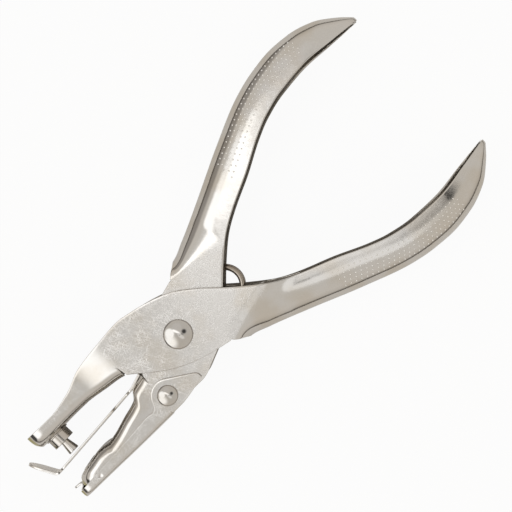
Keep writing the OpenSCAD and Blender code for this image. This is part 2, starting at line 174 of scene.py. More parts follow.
@dataclass(frozen=True)
class Sizes:
    """Sizes in millimetres that the sub-assemblies share."""

    sheet_t: float = 1.2
    cover_t: float = 0.8
    strip_t: float = 0.7
    inner_half: float = 7.0
    play: float = 0.3
    handle_len: float = 96.7
    handle_spread: float = 36.0
    grip_depth: float = 10.2
    punch_reach: float = 44.9
    jaw_nose: float = 5.6
    seat_y: float = 5.55
    jaw_bend: float = 3.2
    grip_bend: float = 6.0
    punch_d: float = 3.2
    collar_d: float = 6.4
    collar_h: float = 3.1
    pin_len: float = 3.7
    bite_deg: float = 6.9
    squeeze_deg: float = 9.5
    strip_w: float = 8.6
    tab_len: float = 8.8
    pivot_d: float = 5.0
    pivot_head_d: float = 8.2
    hinge_d: float = 3.2
    hinge_head_d: float = 5.8
    wire_d: float = 1.6
    coil_out_r: float = 5.9
    neck_x: float = -18.2
    seat_gap: float = 0.02
    nose_r: float = 6.0
    nose_deg: float = 60.0
    hinge_at: Point = (-14.2, -9.45)

    @property
    def lap_half(self) -> float:
        """Half width over the outer pivot cheeks."""
        return self.inner_half + self.play + self.sheet_t

    @property
    def cover_half(self) -> float:
        """Half width over the chip cover."""
        return self.inner_half + self.play + self.cover_t

    @property
    def pivot_head_h(self) -> float:
        """Height of a main rivet head."""
        return HEAD_SHARE * self.pivot_head_d

    @property
    def mid_z(self) -> float:
        """Height of the middle plane above the surface that the tool lies on."""
        return self.lap_half + self.seat_gap + self.pivot_head_h

    @property
    def jaw_x(self) -> float:
        """Front end of the jaws."""
        return -(self.punch_reach + self.jaw_nose)

    @property
    def die_front_x(self) -> float:
        """Front end of the lower jaw."""
        return self.jaw_x + 1.5

    @property
    def punch_x(self) -> float:
        """Axis of the punch."""
        return -self.punch_reach

    def nose_xs(self, front_x: float, r: float, steps: int) -> np.ndarray:
        """Places along X on a front end whose sides close in on an arc."""
        turn = np.radians(np.linspace(self.nose_deg, 0.0, steps + 1))
        return front_x + r * (math.sin(turn[0]) - np.sin(turn))

    def nose_drop(self, x: float, front_x: float, r: float) -> float:
        """How far a side has closed in at x on such a front end."""
        along = front_x + r * math.sin(math.radians(self.nose_deg)) - x
        return r - math.sqrt(r**2 - max(0.0, along)**2)

    @property
    def die_at(self) -> np.ndarray:
        """Plan point where the punch's tip meets the die."""
        return turned((self.punch_x, self.seat_y - self.collar_h - self.pin_len), self.bite_deg)

    @property
    def die_d(self) -> float:
        """Outside diameter of the die."""
        return 1.6 * self.punch_d


SIZES = Sizes()


@contextmanager
def edited(mesh: bpy.types.Mesh) -> Iterator[bmesh.types.BMesh]:
    """Opens a mesh for editing and writes it back.

    Args:
        mesh: The mesh.

    Returns:
        Its editable copy.
    """
    work = bmesh.new()
    work.from_mesh(mesh)
    yield work
    work.to_mesh(mesh)
    work.free()


def face_outwards(obj: bpy.types.Object) -> None:
    """Turns all faces of an object outwards."""
    with edited(obj.data) as work:
        bmesh.ops.recalc_face_normals(work, faces=work.faces)


class Draft:
    """Grids of points in millimetres about the middle plane that become one mesh."""

    def __init__(self) -> None:
        """Starts with no points."""
        self.points: list[np.ndarray] = []
        self.faces: list[tuple[int, ...]] = []
        self.count = 0

    def _add(self, points: np.ndarray) -> int:
        """Adds points.

        Args:
            points: Points with shape (n, 3).

        Returns:
            Index of the first.
        """
        first = self.count
        self.points.append(points)
        self.count += len(points)
        return first

    def grid(self, rows: np.ndarray, flip: bool = False, wrap: bool = False) -> None:
        """Adds a grid of quads.

        Args:
            rows: Points with shape (n, m, 3).
            flip: Turns the faces to the other side.
            wrap: Joins the last column to the first.
        """
        n, m = rows.shape[:2]
        first = self._add(rows.reshape(-1, 3))
        for i in range(n - 1):
            for j in range(m if wrap else m - 1):
                k = (j + 1) % m
                a, b = first + i * m + j, first + i * m + k
                quad = (a, b, b + m, a + m)
                self.faces.append(quad[::-1] if flip else quad)

    def cap(self, ring: np.ndarray, flip: bool = False) -> None:
        """Adds one face over a ring of points.

        Args:
            ring: Points of the ring in order.
            flip: Turns the face to the other side.
        """
        first = self._add(ring)
        face = tuple(range(first, first + len(ring)))
        self.faces.append(face[::-1] if flip else face)

    def both_sides(self, rows: np.ndarray) -> None:
        """Adds a grid and its mirror image on the other side of the middle plane."""
        self.grid(rows)
        self.grid(rows * np.array([1.0, 1.0, -1.0]), flip=True)

    def to_object(self, name: str, upside_down: bool = False) -> bpy.types.Object:
        """Makes the mesh object.

        Args:
            name: Name of the object.
            upside_down: Turns the draft half a turn about X first.

        Returns:
            The object, with equal points merged.
        """
        points = np.concatenate(self.points)
        if upside_down:
            points = points * np.array([1.0, -1.0, -1.0])
        points = (points + np.array([0.0, 0.0, SIZES.mid_z])) * MM
        mesh = bpy.data.meshes.new(name)
        mesh.from_pydata(points.tolist(), [], self.faces)
        with edited(mesh) as work:
            bmesh.ops.remove_doubles(work, verts=work.verts, dist=SAME_POINT)
        obj = bpy.data.objects.new(name, mesh)
        bpy.context.scene.collection.objects.link(obj)
        return obj


def settle(obj: bpy.types.Object, sharp_deg: float = 50.0) -> None:
    """Turns an object's modifiers into a plain smooth mesh.

    Args:
        obj: The object.
        sharp_deg: Edges that turn more than this stay sharp.
    """
    graph = bpy.context.evaluated_depsgraph_get()
    mesh = bpy.data.meshes.new_from_object(obj.evaluated_get(graph))
    obj.modifiers.clear()
    old = obj.data
    obj.data = mesh
    bpy.data.meshes.remove(old)
    mesh.name = obj.name
    mesh.shade_smooth()
    mesh.set_sharp_from_angle(angle=math.radians(sharp_deg))


def thicken(obj: bpy.types.Object, thickness: float, edge: float, offset: float = -1.0,
            group: str = "") -> None:
    """Gives a skin its sheet thickness and rolled edges.

    Args:
        obj: The skin, with its faces outwards.
        thickness: Sheet thickness in millimetres.
        edge: Width of the rolled edge in millimetres.
        offset: Side of the skin that the thickness goes to, -1 for inwards.
        group: Group of points whose weight thins the sheet, where it runs out.
    """
    sheet = obj.modifiers.new("Sheet", "SOLIDIFY")
    sheet.vertex_group = group
    sheet.thickness = thickness * MM
    sheet.offset = offset
    sheet.use_even_offset = True
    sheet.use_quality_normals = True
    rolled = obj.modifiers.new("Edges", "BEVEL")
    rolled.width = edge * MM
    rolled.segments = 2
    rolled.limit_method = "ANGLE"
    rolled.angle_limit = math.radians(50)
    rolled.use_clamp_overlap = False
    settle(obj)


class Mask(Enum):
    """Values stored at the points of a piece for its finish and its painted shade."""

    SCUFF = "scuff"
    INSIDE = "inside"
    TARNISH = "tarnish"


Rule = Callable[[Spot, Spot], float]


def paint(obj: bpy.types.Object, mask: Mask, rule: Rule) -> None:
    """Stores a value at each point of a piece for its finish or its painted shade.

    Args:
        obj: The piece.
        mask: Which value.
        rule: Value at a place in millimetres, with z from the middle plane, and its normal.
    """
    layer = obj.data.attributes.new(mask.value, "FLOAT", "POINT")
    values = [rule((v.co.x / MM, v.co.y / MM, v.co.z / MM - SIZES.mid_z), tuple(v.normal))
              for v in obj.data.vertices]
    layer.data.foreach_set("value", values)


def paint_all(obj: bpy.types.Object, *rules: Rule) -> None:
    """Stores the values of all masks, in their order."""
    for mask, rule in zip(Mask, rules):
        paint(obj, mask, rule)


def carry(obj: bpy.types.Object, body: Body, slot: Slot, material: bpy.types.Material, *nodes: str) -> None:
    """Dresses a finished piece and sets it on its body.

    Args:
        obj: The piece.
        body: Body that it rides on.
        slot: Slot of the record for its finish; not used.
        material: Its material.
        nodes: Solids that it stands for.
    """
    obj.data.materials.clear()
    obj.data.materials.append(material)
    if nodes:
        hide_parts(*nodes)
    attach(obj, body.value)
    LOG.info("%s: %d faces", obj.name, len(obj.data.polygons))


class Nodes:
    """Short way to place and link the nodes of one tree."""

    def __init__(self, tree: bpy.types.NodeTree) -> None:
        """Starts on an empty tree."""
        self.tree = tree
        tree.nodes.clear()

    def add(self, kind: str, inputs: dict[str | int, object] | None = None,
            **settings: object) -> bpy.types.Node:
        """Adds a node.

        Args:
            kind: Type name of the node.
            inputs: Values of its inputs, or output sockets to link to them.
            settings: Properties of the node.

        Returns:
            The node.
        """
        node = self.tree.nodes.new(kind)
        for key, value in settings.items():
            setattr(node, key, value)
        for key, value in (inputs or {}).items():
            if isinstance(value, bpy.types.NodeSocket):
                self.tree.links.new(value, node.inputs[key])
            else:
                node.inputs[key].default_value = value
        return node

    def math(self, operation: str, a: object, b: object = 0.0, clamp: bool = False) -> bpy.types.NodeSocket:
        """Result of a sum on two values or sockets."""
        return self.add("ShaderNodeMath", {0: a, 1: b}, operation=operation, use_clamp=clamp).outputs[0]

    def ramp(self, value: bpy.types.NodeSocket, low: float, high: float) -> bpy.types.NodeSocket:
        """Smooth rise from 0 at low to 1 at high.

        Args:
            value: Value that rises.
            low: Where the rise starts.
            high: Where the rise ends; it may lie below low.

        Returns:
            Socket of the result.
        """
        node = self.add("ShaderNodeMapRange", {"Value": value, "From Min": low, "From Max": high},
                        interpolation_type="SMOOTHSTEP")
        return node.outputs["Result"]

    def noise(self, vector: object, scale: float, detail: float = 2.0) -> bpy.types.NodeSocket:
        """Noise value on a vector."""
        node = self.add("ShaderNodeTexNoise", {"Vector": vector, "Scale": scale, "Detail": detail})
        return node.outputs["Fac"]

    def mixed(self, factor: object, a: object, b: object) -> bpy.types.NodeSocket:
        """Mixes two colours.

        Args:
            factor: Share of the second colour.
            a: First colour, or a socket.
            b: Second colour, or a socket.

        Returns:
            Socket of the result.
        """
        ends = [v if isinstance(v, bpy.types.NodeSocket) else (*v, 1.0) for v in (a, b)]
        node = self.add("ShaderNodeMix", {"Factor": factor, "A": ends[0], "B": ends[1]}, data_type="RGBA")
        return node.outputs["Result"]

    def shown(self, glossy: float) -> bpy.types.NodeSocket:
        """1 for what the camera sees, and a small share for what the metal mirrors.

        Args:
            glossy: The share for what the metal mirrors.

        Returns:
            Socket of the result.
        """
        path = self.add("ShaderNodeLightPath").outputs
        seen = self.math("ADD", path["Is Camera Ray"], path["Is Transmission Ray"])
        return self.math("ADD", seen, self.math("MULTIPLY", path["Is Glossy Ray"], glossy), clamp=True)


STROKES: tuple[Spot, ...] = (
    (28.0, 0.20, 3.4), (-31.0, 0.16, 2.6), (74.0, 0.18, 2.2), (-68.0, 0.22, 4.4))


def wear_group() -> bpy.types.NodeTree:
    """Shader group with the marks that handling leaves on bright steel.

    Returns:
        A group with the inputs Vector, Scuff, Polish and Grain, and the outputs Marks, Cloud, Roughness and
        Height.
    """
    tree = bpy.data.node_groups.new("handling_marks", "ShaderNodeTree")
    tree.interface.new_socket("Vector", in_out="INPUT", socket_type="NodeSocketVector")
    for name in ("Scuff", "Polish", "Grain"):
        tree.interface.new_socket(name, in_out="INPUT", socket_type="NodeSocketFloat")
    for name in ("Marks", "Cloud", "Roughness", "Height"):
        tree.interface.new_socket(name, in_out="OUTPUT", socket_type="NodeSocketFloat")
    n = Nodes(tree)
    source = n.add("NodeGroupInput")
    vector, scuff = source.outputs["Vector"], source.outputs["Scuff"]
    strokes = None
    for turn_deg, wide, long in STROKES:
        laid = n.add("ShaderNodeMapping", {"Vector": vector, "Rotation": (0.0, 0.0, math.radians(turn_deg)),
                                           "Scale": (long * MM, wide * MM, long * MM)}, vector_type="TEXTURE")
        line = n.ramp(n.noise(laid.outputs["Vector"], 1.0, 1.0), 0.63, 0.71)
        strokes = line if strokes is None else n.math("MAXIMUM", strokes, line)
    speckle = n.ramp(n.noise(vector, 2800.0, 2.0), 0.52, 0.66)
    patch = n.ramp(n.noise(vector, 260.0, 3.0), 0.40, 0.66)
    cloud = n.noise(vector, 90.0, 3.0)
    worn = n.math("MULTIPLY", scuff, n.math("ADD", n.math("MULTIPLY", patch, 0.7), 0.3))
    dents = n.math("MAXIMUM", n.math("MULTIPLY", strokes, 0.9), n.math("MULTIPLY", speckle, 0.5))
    marks = n.math("ADD", n.math("MULTIPLY", worn, dents), n.math("MULTIPLY", strokes, 0.05), clamp=True)
    base = n.math("ADD", source.outputs["Polish"], n.math("MULTIPLY", scuff, 0.10))
    blur = n.math("ADD", n.math("MULTIPLY", marks, 0.22), n.math("MULTIPLY", cloud, 0.05))
    rough = n.math("ADD", base, blur, clamp=True)
    fine, wave = n.noise(vector, 2600.0, 2.0), n.noise(vector, 420.0, 1.0)
    grain = n.math("MULTIPLY", n.math("ADD", fine, n.math("MULTIPLY", wave, 4.0)), source.outputs["Grain"])
    height = n.math("SUBTRACT", grain, n.math("MULTIPLY", marks, 0.8))
    n.add("NodeGroupOutput", {"Marks": marks, "Cloud": cloud, "Roughness": rough, "Height": height})
    return tree


# Painted shade: the dark colour that the inside mask lays on the faces inside the channels and on the punch
# collar's sides.
PAINTED_SHADE_INSIDE: Spot = (0.24, 0.22, 0.19)
YELLOWED: Spot = (0.46, 0.43, 0.20)


@dataclass(frozen=True)
class SteelFinish:
    """Look of one kind of bright steel: its colours, polish and marks."""

    name: str
    colour: Spot
    worn: Spot
    warm: Spot
    polish: float
    scuff: float
    grain: float
    depth: float

    def material(self, group: bpy.types.NodeTree) -> bpy.types.Material:
        """Makes the material.

        Args:
            group: The shared group of handling marks.

        Returns:
            The material; it reads the masks of its piece on top of its own share of marks, and darkens the
            inside share with painted shade.
        """
        mat = bpy.data.materials.new(self.name)
        mat.use_nodes = True
        n = Nodes(mat.node_tree)
        coords = n.add("ShaderNodeTexCoord")
        # inside is the painted shade mask: it darkens faces inside the channels as if they were in shade, and
        # adds marks and roughness there.
        scuffed, inside, tarnish = (n.add("ShaderNodeAttribute", attribute_name=mask.value).outputs["Fac"]
                                    for mask in Mask)
        scuff = n.math("ADD", n.math("ADD", scuffed, self.scuff), n.math("MULTIPLY", inside, 0.5), clamp=True)
        wear = n.add("ShaderNodeGroup", {"Vector": coords.outputs["Object"], "Scuff": scuff,
                                         "Polish": self.polish, "Grain": self.grain}, node_tree=group)
        colour = n.mixed(n.ramp(wear.outputs["Cloud"], 0.42, 0.62), self.colour, self.warm)
        dulled = n.math("MULTIPLY", scuff, 0.02)
        marked = n.math("ADD", n.math("MULTIPLY", wear.outputs["Marks"], 0.8), dulled, clamp=True)
        for share, tint in ((marked, self.worn), (inside, PAINTED_SHADE_INSIDE), (tarnish, YELLOWED)):
            colour = n.mixed(share, colour, tint)
        bump = n.add("ShaderNodeBump", {"Strength": 0.6, "Distance": self.depth * MM,
                                        "Height": wear.outputs["Height"]})
        rough = n.math("ADD", wear.outputs["Roughness"], n.math("MULTIPLY", inside, 0.35), clamp=True)
        steel = n.add("ShaderNodeBsdfPrincipled", {"Base Color": colour, "Metallic": 1.0, "Roughness": rough,
                                                   "Normal": bump.outputs["Normal"]})
        n.add("ShaderNodeOutputMaterial", {"Surface": steel.outputs["BSDF"]})
        return mat


PLATE = SteelFinish("plated_sheet", (0.72, 0.70, 0.67), worn=(0.94, 0.93, 0.91), warm=(0.68, 0.64, 0.58),
                    polish=0.07, scuff=0.0, grain=0.25, depth=0.02)
RIVET = SteelFinish("polished_rivet", (0.64, 0.62, 0.59), worn=(0.52, 0.50, 0.47), warm=(0.60, 0.56, 0.50),
                    polish=0.06, scuff=0.05, grain=0.10, depth=0.01)
TOOL = SteelFinish("ground_tool_steel", (0.70, 0.68, 0.65), worn=(0.46, 0.45, 0.43), warm=(0.64, 0.60, 0.55),
                   polish=0.07, scuff=0.05, grain=0.2, depth=0.01)
LEAF = SteelFinish("spring_leaf", (0.82, 0.80, 0.77), worn=(0.58, 0.56, 0.53), warm=(0.76, 0.72, 0.66),
                   polish=0.10, scuff=0.05, grain=0.2, depth=0.01)
# Painted highlight: the dots are the same plated sheet, but get a brighter colour so that they read as
# glints.
DOT = SteelFinish("raised_dots_painted_highlight", (0.98, 0.97, 0.94), worn=(0.80, 0.78, 0.75), warm=(0.94, 0.91, 0.86),
                  polish=0.30, scuff=0.0, grain=0.0, depth=0.01)
WIRE = SteelFinish("drawn_wire", (0.44, 0.39, 0.33), worn=(0.26, 0.22, 0.18), warm=(0.38, 0.32, 0.26),
                   polish=0.14, scuff=0.1, grain=0.3, depth=0.02)


def along_handle(across: float, *shares: Point) -> tuple[Point, ...]:
    """Points along a handle, from shares of its length and of a distance across it."""
    return tuple((x * SIZES.handle_len, y * across) for x, y in shares)


HANDLE_WEB = along_handle(
    -SIZES.handle_spread, (0.126, 0.417), (0.19, 0.475), (0.30, 0.6), (0.46, 0.79), (0.60, 0.935),
    (0.675, 0.98), (0.755, 1.0), (0.83, 0.98), (0.905, 0.915), (0.965, 0.80), (1.0, 0.708))
HANDLE_RIM = along_handle(
    SIZES.grip_depth - SIZES.handle_spread, (0.30, 0.370), (0.36, 0.490), (0.46, 0.652), (0.56, 0.835),
    (0.62, 0.920), (0.70, 0.984), (0.80, 1.007), (0.90, 0.970), (1.0, 0.930))
HANDLE_HALF = along_handle(
    SIZES.inner_half, (0.77, 1.0), (0.80, 0.995), (0.83, 0.95), (0.92, 0.70), (0.965, 0.50), (0.988, 0.34),
    (1.0, 0.22))
CHEEK_RIM = ((-4.5, 13.5), (1.0, 11.9), (6.3, 9.6), (11.6, 5.7), (17.6, 0.0), (22.0, -4.0))
OPEN_EDGE = ((-12.3, -2.25), (-7.4, -5.85), (-2.0, -8.5), (2.85, -10.2), (8.4, -11.6))


class BendShape:
    """Unit profile of a bend whose curvature grows along it, as shares of its drop and its inset."""

    def __init__(self, power: float, steps: int = 240) -> None:
        """Lays the profile out.

        Args:
            power: How slowly the curvature starts; 1 is a plain arc.
            steps: Count of the steps.
        """
        self.along = np.linspace(0.0, 1.0, steps + 1)
        turn = math.pi / 2 * self.along**power
        self.drop = np.concatenate([[0.0], np.cumsum((np.cos(turn[1:]) + np.cos(turn[:-1])) / 2)])
        self.inset = np.concatenate([[0.0], np.cumsum((np.sin(turn[1:]) + np.sin(turn[:-1])) / 2)])
        self.drop, self.inset = self.drop / self.drop[-1], self.inset / self.inset[-1]

    def at(self, u: float) -> np.ndarray:
        """Shares of the drop and the inset at a share of the length."""
        return np.array([np.interp(u, self.along, self.drop), np.interp(u, self.along, self.inset)])


JAW_SHAPE, GRIP_SHAPE = BendShape(1.1), BendShape(1.5)


@dataclass
class Lever:
    """One pressed channel lever: a jaw, a pair of flat pivot cheeks and a handle.

    It is drawn with its web below its rim; an upside-down lever is turned half a turn about X at the end.
    """

    node: str
    body: Body
    web: Line
    rim: Line
    half: Line
    front_x: float
    neck_x: float
    open_edge: Line
    upside_down: bool = False
    web_end: float = -18.9
    slot_half: float = 0.0
    slot_end: float = 0.0
    die_hole: bool = False
    bend: Line = Line(((SIZES.jaw_x, SIZES.jaw_bend), (SIZES.neck_x + 1, SIZES.jaw_bend),
                       (10.2, SIZES.grip_bend), (SIZES.handle_len, SIZES.grip_bend)))
    notch_at: Point = (8.8, -11.7)
    notch_r: float = 0.2
    fade_x: float = 24.0
    rim_steps: tuple[float, ...] = (0.0, 0.14, 0.28, 0.42, 0.58, 0.75)
    rim_roll: float = 0.34
    cheek_rows: int = 8
    arc_rows: int = 18
    web_rows: int = 12
    seat_from: Point = (9.2, -11.6)
    seat_rise: float = 0.177
    lap_step: float = 0.0
    step_x: Point = (7.0, 18.0)
    step_y: Point = (-5.5, 2.6)
    edge: float = 0.12
    thin_by: float = 0.8
    thin_at: Point = (0.80, 0.97)
    # Where the painted shade inside the channel fades out, as shares of the handle's length.
    shade_end: Point = (0.66, 0.84)
    tip_share: float = 0.955
    end_share: float = 0.985
    end_merge: float = 0.09
    bend_share: float = 0.8
    soften_x: Point = (8.0, 16.0)
    hollow: Point = (3.6, 0.4)
    full_depth: float = 2.4
    cheek_roll: float = 0.06
    roll_x: Point = (12.0, 26.0)
    hole_r: float = 2.1
    hole_depth: float = 1.5

    def _seat_y(self, x: float) -> float:
        """Height of the slanting line at x that parts the flat pivot cheek from the rounded handle."""
        return self.seat_from[1] + self.seat_rise * (x - self.seat_from[0])

    def _half(self, x: float, y: float) -> float:
        """Half width of the sheet at a place: across the slanting line it steps in to the handle's width."""
        inward = smooth_step(*self.step_x, x) * (1 - smooth_step(*self.step_y, y - self._seat_y(x)))
        return self.half.at(x) - self.lap_step * inward

    def _bend_r(self, x: float) -> float:
        """Outside bend radius at x."""
        room = min(self._half(x, self.web.at(x)), self.rim.at(x) - self.web.at(x))
        return min(self.bend.at(x), self.bend_share * room)

    def _bend_y(self, x: float) -> float:
        """Height at x where the flat cheek turns into the bend: along the handle it climbs to the rim.

        Args:
            x: Place along X in millimetres.

        Returns:
            The height.
        """
        web, rim = self.web.at(x), self.rim.at(x)
        if x < self.seat_from[0]:
            return web + self._bend_r(x)
        return min(rim - min(1.2, 0.45 * (rim - web)), self._seat_y(x) + 0.6 * max(0.0, x - 30.0))

    def _bend_point(self, x: float, row: int) -> Spot:
        """Point of the bend or the web at x in one row.

        Args:
            x: Place along X in millimetres.
            row: Row across the bend and the web, from the cheek to the middle.

        Returns:
            The point about the middle plane.
        """
        if row <= self.arc_rows:
            return x, *self._on_bend(x, row / self.arc_rows)
        web = self.web.at(x)
        return x, web, (self._half(x, web) - self._bend_r(x)) * (1 - (row - self.arc_rows) / self.web_rows)

    def _on_bend(self, x: float, u: float) -> Point:
        """Height and half width of the bend at x, at a share of its length.

        Args:
            x: Place along X in millimetres.
            u: Share of the bend's length.

        Returns:
            The height and the half width.
        """
        r, web = self._bend_r(x), self.web.at(x)
        soft = smooth_step(*self.soften_x, x)
        drop, inset = JAW_SHAPE.at(u) * (1 - soft) + GRIP_SHAPE.at(u) * soft
        y = web + (self._bend_y(x) - web) * (1 - drop)
        return y, self._half(x, y) - r * inset

    def _low(self, x: float) -> float:
        """Lower edge of the flat cheek at x.

        Args:
            x: Place along X in millimetres.

        Returns:
            Height of the edge.
        """
        notch_x, notch_y = self.notch_at
        if x <= self.neck_x + 1e-6 or x >= notch_x + self.notch_r - 1e-6:
            return self._bend_y(x)
        bite = self.notch_r**2 - (x - notch_x)**2
        edge = self.open_edge.at(x)
        return max(edge, notch_y + math.sqrt(bite)) if bite > 0 else edge

    def _stations(self) -> tuple[np.ndarray, np.ndarray, np.ndarray, np.ndarray]:
        """Places along X in the jaw, beside the pivot, at the handle's root and along the handle.

        Returns:
            The four runs of places in that order.
        """
        bite_a, bite_b = self.notch_at[0] - self.notch_r, self.notch_at[0] + self.notch_r
        nose = SIZES.nose_xs(self.front_x, SIZES.nose_r, 16)
        jaw = np.concatenate([nose, np.linspace(nose[-1], self.neck_x, 60)[1:]])
        pivot = np.concatenate([np.linspace(self.neck_x, bite_a, 58)[1:],
                                np.linspace(bite_a, bite_b, 10)[1:-1]])
        root = np.linspace(bite_b, self.fade_x, 30)
        handle = np.linspace(self.fade_x, SIZES.handle_len, 108)[1:]
        return jaw, pivot, root, handle

    def _jaw_end(self, row: int) -> float:
        """Place along X where the jaw's bend and web end, in one row.

        Args:
            row: Row across the bend and the web, from the cheek to the middle.

        Returns:
            The place.
        """
        if row <= self.arc_rows:
            return self.neck_x + (self.web_end - self.neck_x) * row / self.arc_rows
        if not self.slot_half:
            return self.web_end
        z = self._bend_point(self.web_end, row)[2]
        past_slot = smooth_step(self.slot_half - 0.3, self.slot_half + 0.3, z)
        return self.slot_end + (self.web_end - self.slot_end) * past_slot

    def _handle_start(self, row: int) -> float:
        """Place along X where the handle's bend and web start, in one row: a hollow sheared edge.

        Args:
            row: Row across the bend and the web, from the cheek to the middle.

        Returns:
            The place.
        """
        a = math.pi / 2 * min(1.0, row / self.arc_rows)
        past = max(0, row - self.arc_rows) / self.web_rows
        return self.notch_at[0] + self.notch_r + self.hollow[0] * math.sin(a) + self.hollow[1] * past

    def _cheek_points(self, x: float) -> list[Spot]:
        """Points of the flat cheek at x, from its rolled rim down to its lower edge.

        Args:
            x: Place along X in millimetres.

        Returns:
            The points about the middle plane.
        """
        top, low = self.rim.at(x), self._low(x)
        deep = top - low
        scale = min(1.0, deep / self.full_depth)
        depths = [d * scale for d in self.rim_steps]
        last = deep - 0.3 * scale
        depths += [depths[-1] + (last - depths[-1]) * j / self.cheek_rows
                   for j in range(1, self.cheek_rows + 1)]
        depths += [deep - 0.13 * scale, deep]
        roll = scale * (self.cheek_roll + (self.rim_roll - self.cheek_roll) * smooth_step(*self.roll_x, x))
        reach = self.rim_steps[-1] * scale
        return [(x, top - d, self._half(x, top - d) - roll * max(0.0, 1 - d / reach)**2) for d in depths]

    def skin(self) -> bpy.types.Object:
        """Builds the outside skin of the sheet.

        Returns:
            The skin as an object with its faces outwards.
        """
        jaw, pivot, root, handle = self._stations()
        draft = Draft()
        cheek = [self._cheek_points(x) for x in np.concatenate([jaw, pivot, root, handle])]
        draft.both_sides(np.array(cheek))
        rows = range(self.arc_rows + self.web_rows + 1)
        ends = [self._jaw_end(k) for k in rows]
        starts = [self._handle_start(k) for k in rows]
        share = (jaw - jaw[0]) / (jaw[-1] - jaw[0])
        nose = [[self._bend_point(jaw[0] + (ends[k] - jaw[0]) * s, k) for k in rows] for s in share]
        draft.both_sides(np.array(nose))
        share = (root - root[0]) / (root[-1] - root[0])
        grip = [[self._bend_point(starts[k] + (root[-1] - starts[k]) * s, k) for k in rows] for s in share]
        grip += [[self._bend_point(x, k) for k in rows] for x in handle]
        draft.both_sides(np.array(grip))
        obj = draft.to_object(self.node + "_sheet", self.upside_down)
        if self.die_hole:
            self._cut_die_hole(obj)
        return obj

    def _cut_die_hole(self, obj: bpy.types.Object) -> None:
        """Takes the faces under the die's bore out of the web.

        Args:
            obj: Skin of the lever.
        """
        at = SIZES.die_at
        with edited(obj.data) as work:
            gone = []
            for face in work.faces:
                c = face.calc_center_median() / MM
                away = math.hypot(c.x - at[0], c.z - SIZES.mid_z)
                if away < self.hole_r and abs(c.y - at[1]) < self.hole_depth:
                    gone.append(face)
            bmesh.ops.delete(work, geom=gone, context="FACES")

    def _trim_tip(self, obj: bpy.types.Object) -> None:
        """Keeps the rolled edges at the tip inside the sheet's outline and joins their smallest faces.

        Args:
            obj: Thickened sheet of the lever.
        """
        turn, long = -1.0 if self.upside_down else 1.0, SIZES.handle_len
        with edited(obj.data) as work:
            tip = [v for v in work.verts if v.co.x > self.tip_share * long * MM]
            for vertex in tip:
                x, y = min(vertex.co.x / MM, long), turn * vertex.co.y / MM
                z = vertex.co.z / MM - SIZES.mid_z
                y = min(max(y, self.web.at(x)), self.rim.at(x))
                reach = self._half(x, y)
                vertex.co = (x * MM, turn * y * MM, (SIZES.mid_z + min(max(z, -reach), reach)) * MM)
            end = [v for v in tip if v.co.x > self.end_share * long * MM]
            bmesh.ops.remove_doubles(work, verts=end, dist=self.end_merge * MM)

    def _scuff(self, at: Spot, normal: Spot) -> float:
        """Share of handling marks at a place: most on the flat pivot cheeks, least on the bends.

        Args:
            at: Place in millimetres, with z from the middle plane.
            normal: Its normal.

        Returns:
            The share.
        """
        x, y, z = at
        up = -y if self.upside_down else y
        flat = smooth_step(0.90, 0.985, normal[2] * math.copysign(1.0, z))
        root = smooth_step(-1.5, 1.0, up - self._seat_y(x)) * (1 - smooth_step(23.0, 29.0, x)) \
            if x > self.seat_from[0] else 1.0
        pivot = smooth_step(-20.5, -15.5, x) * root * (1 - smooth_step(29.0, 30.0, x))
        pivot *= 0.6 + 0.4 * smooth_step(4.0, 14.0, abs(x + 1.0))
        jaw = (1 - smooth_step(-31.0, -24.0, x)) * 0.35
        grip = smooth_step(40.0, 60.0, x) * 0.30
        return flat * max(pivot, jaw, grip, 0.10)

    def _painted_shade(self, at: Spot, normal: Spot) -> float:
        """Share of painted shade inside the channel at a place: the inner faces are darkened as if in shade,
        fading out along the handle.

        Args:
            at: Place in millimetres, with z from the middle plane.
            normal: Its normal.

        Returns:
            The share.
        """
        x, y, z = at
        up, lift = (-y, -normal[1]) if self.upside_down else (y, normal[1])
        if abs(z) > 0.3 and normal[2] * math.copysign(1.0, z) < -0.25:
            return 1 - smooth_step(*self.shade_end, x / SIZES.handle_len)
        return 1.0 if lift > 0.5 and up < self.web.at(x) + 2.0 < self.rim.at(x) - 1.2 else 0.0

    def _tarnish(self, at: Spot, normal: Spot) -> float:
        """Share of the yellowed plating at the jaw's front end."""
        near = 1 - smooth_step(self.front_x + 1.5, self.front_x + 2.5, at[0])
        return near * smooth_step(0.62, 0.72, -normal[0])

    def build(self, material: bpy.types.Material) -> bpy.types.Object:
        """Builds and dresses the lever.

        Args:
            material: Its plated finish.

        Returns:
            The finished piece.
        """
        obj = self.skin()
        thin = obj.vertex_groups.new(name="sheet")
        for vertex in obj.data.vertices:
            along = vertex.co.x / MM / SIZES.handle_len
            thin.add([vertex.index], 1 - self.thin_by * smooth_step(*self.thin_at, along), "REPLACE")
        thicken(obj, SIZES.sheet_t, self.edge, group=thin.name)
        self._trim_tip(obj)
        paint_all(obj, self._scuff, self._painted_shade, self._tarnish)
        carry(obj, self.body, Slot.PLATE, material, self.node)
        return obj

    def dot_carrier(self, name: str, first_x: float, last_x: float, pitch: float,
                    rows_at: Sequence[float]) -> bpy.types.Object:
        """Builds the sheet of points that the grip dots stand on.

        Args:
            name: Name of the object.
            first_x: Start of the dotted field along X.
            last_x: End of the dotted field along X.
            pitch: Distance of the dots in a row.
            rows_at: Share of the bend's length at which each row lies.

        Returns:
            An object with one point for each dot, its faces outwards.
        """
        draft = Draft()
        xs = np.arange(first_x, last_x, pitch)
        rows = []
        for x in xs:
            line = []
            for k, share in enumerate(rows_at):
                px = x + (pitch / 2 if k % 2 else 0.0)
                line.append((px, *self._on_bend(px, share)))
            rows.append(line)
        draft.both_sides(np.array(rows))
        return draft.to_object(name, self.upside_down)


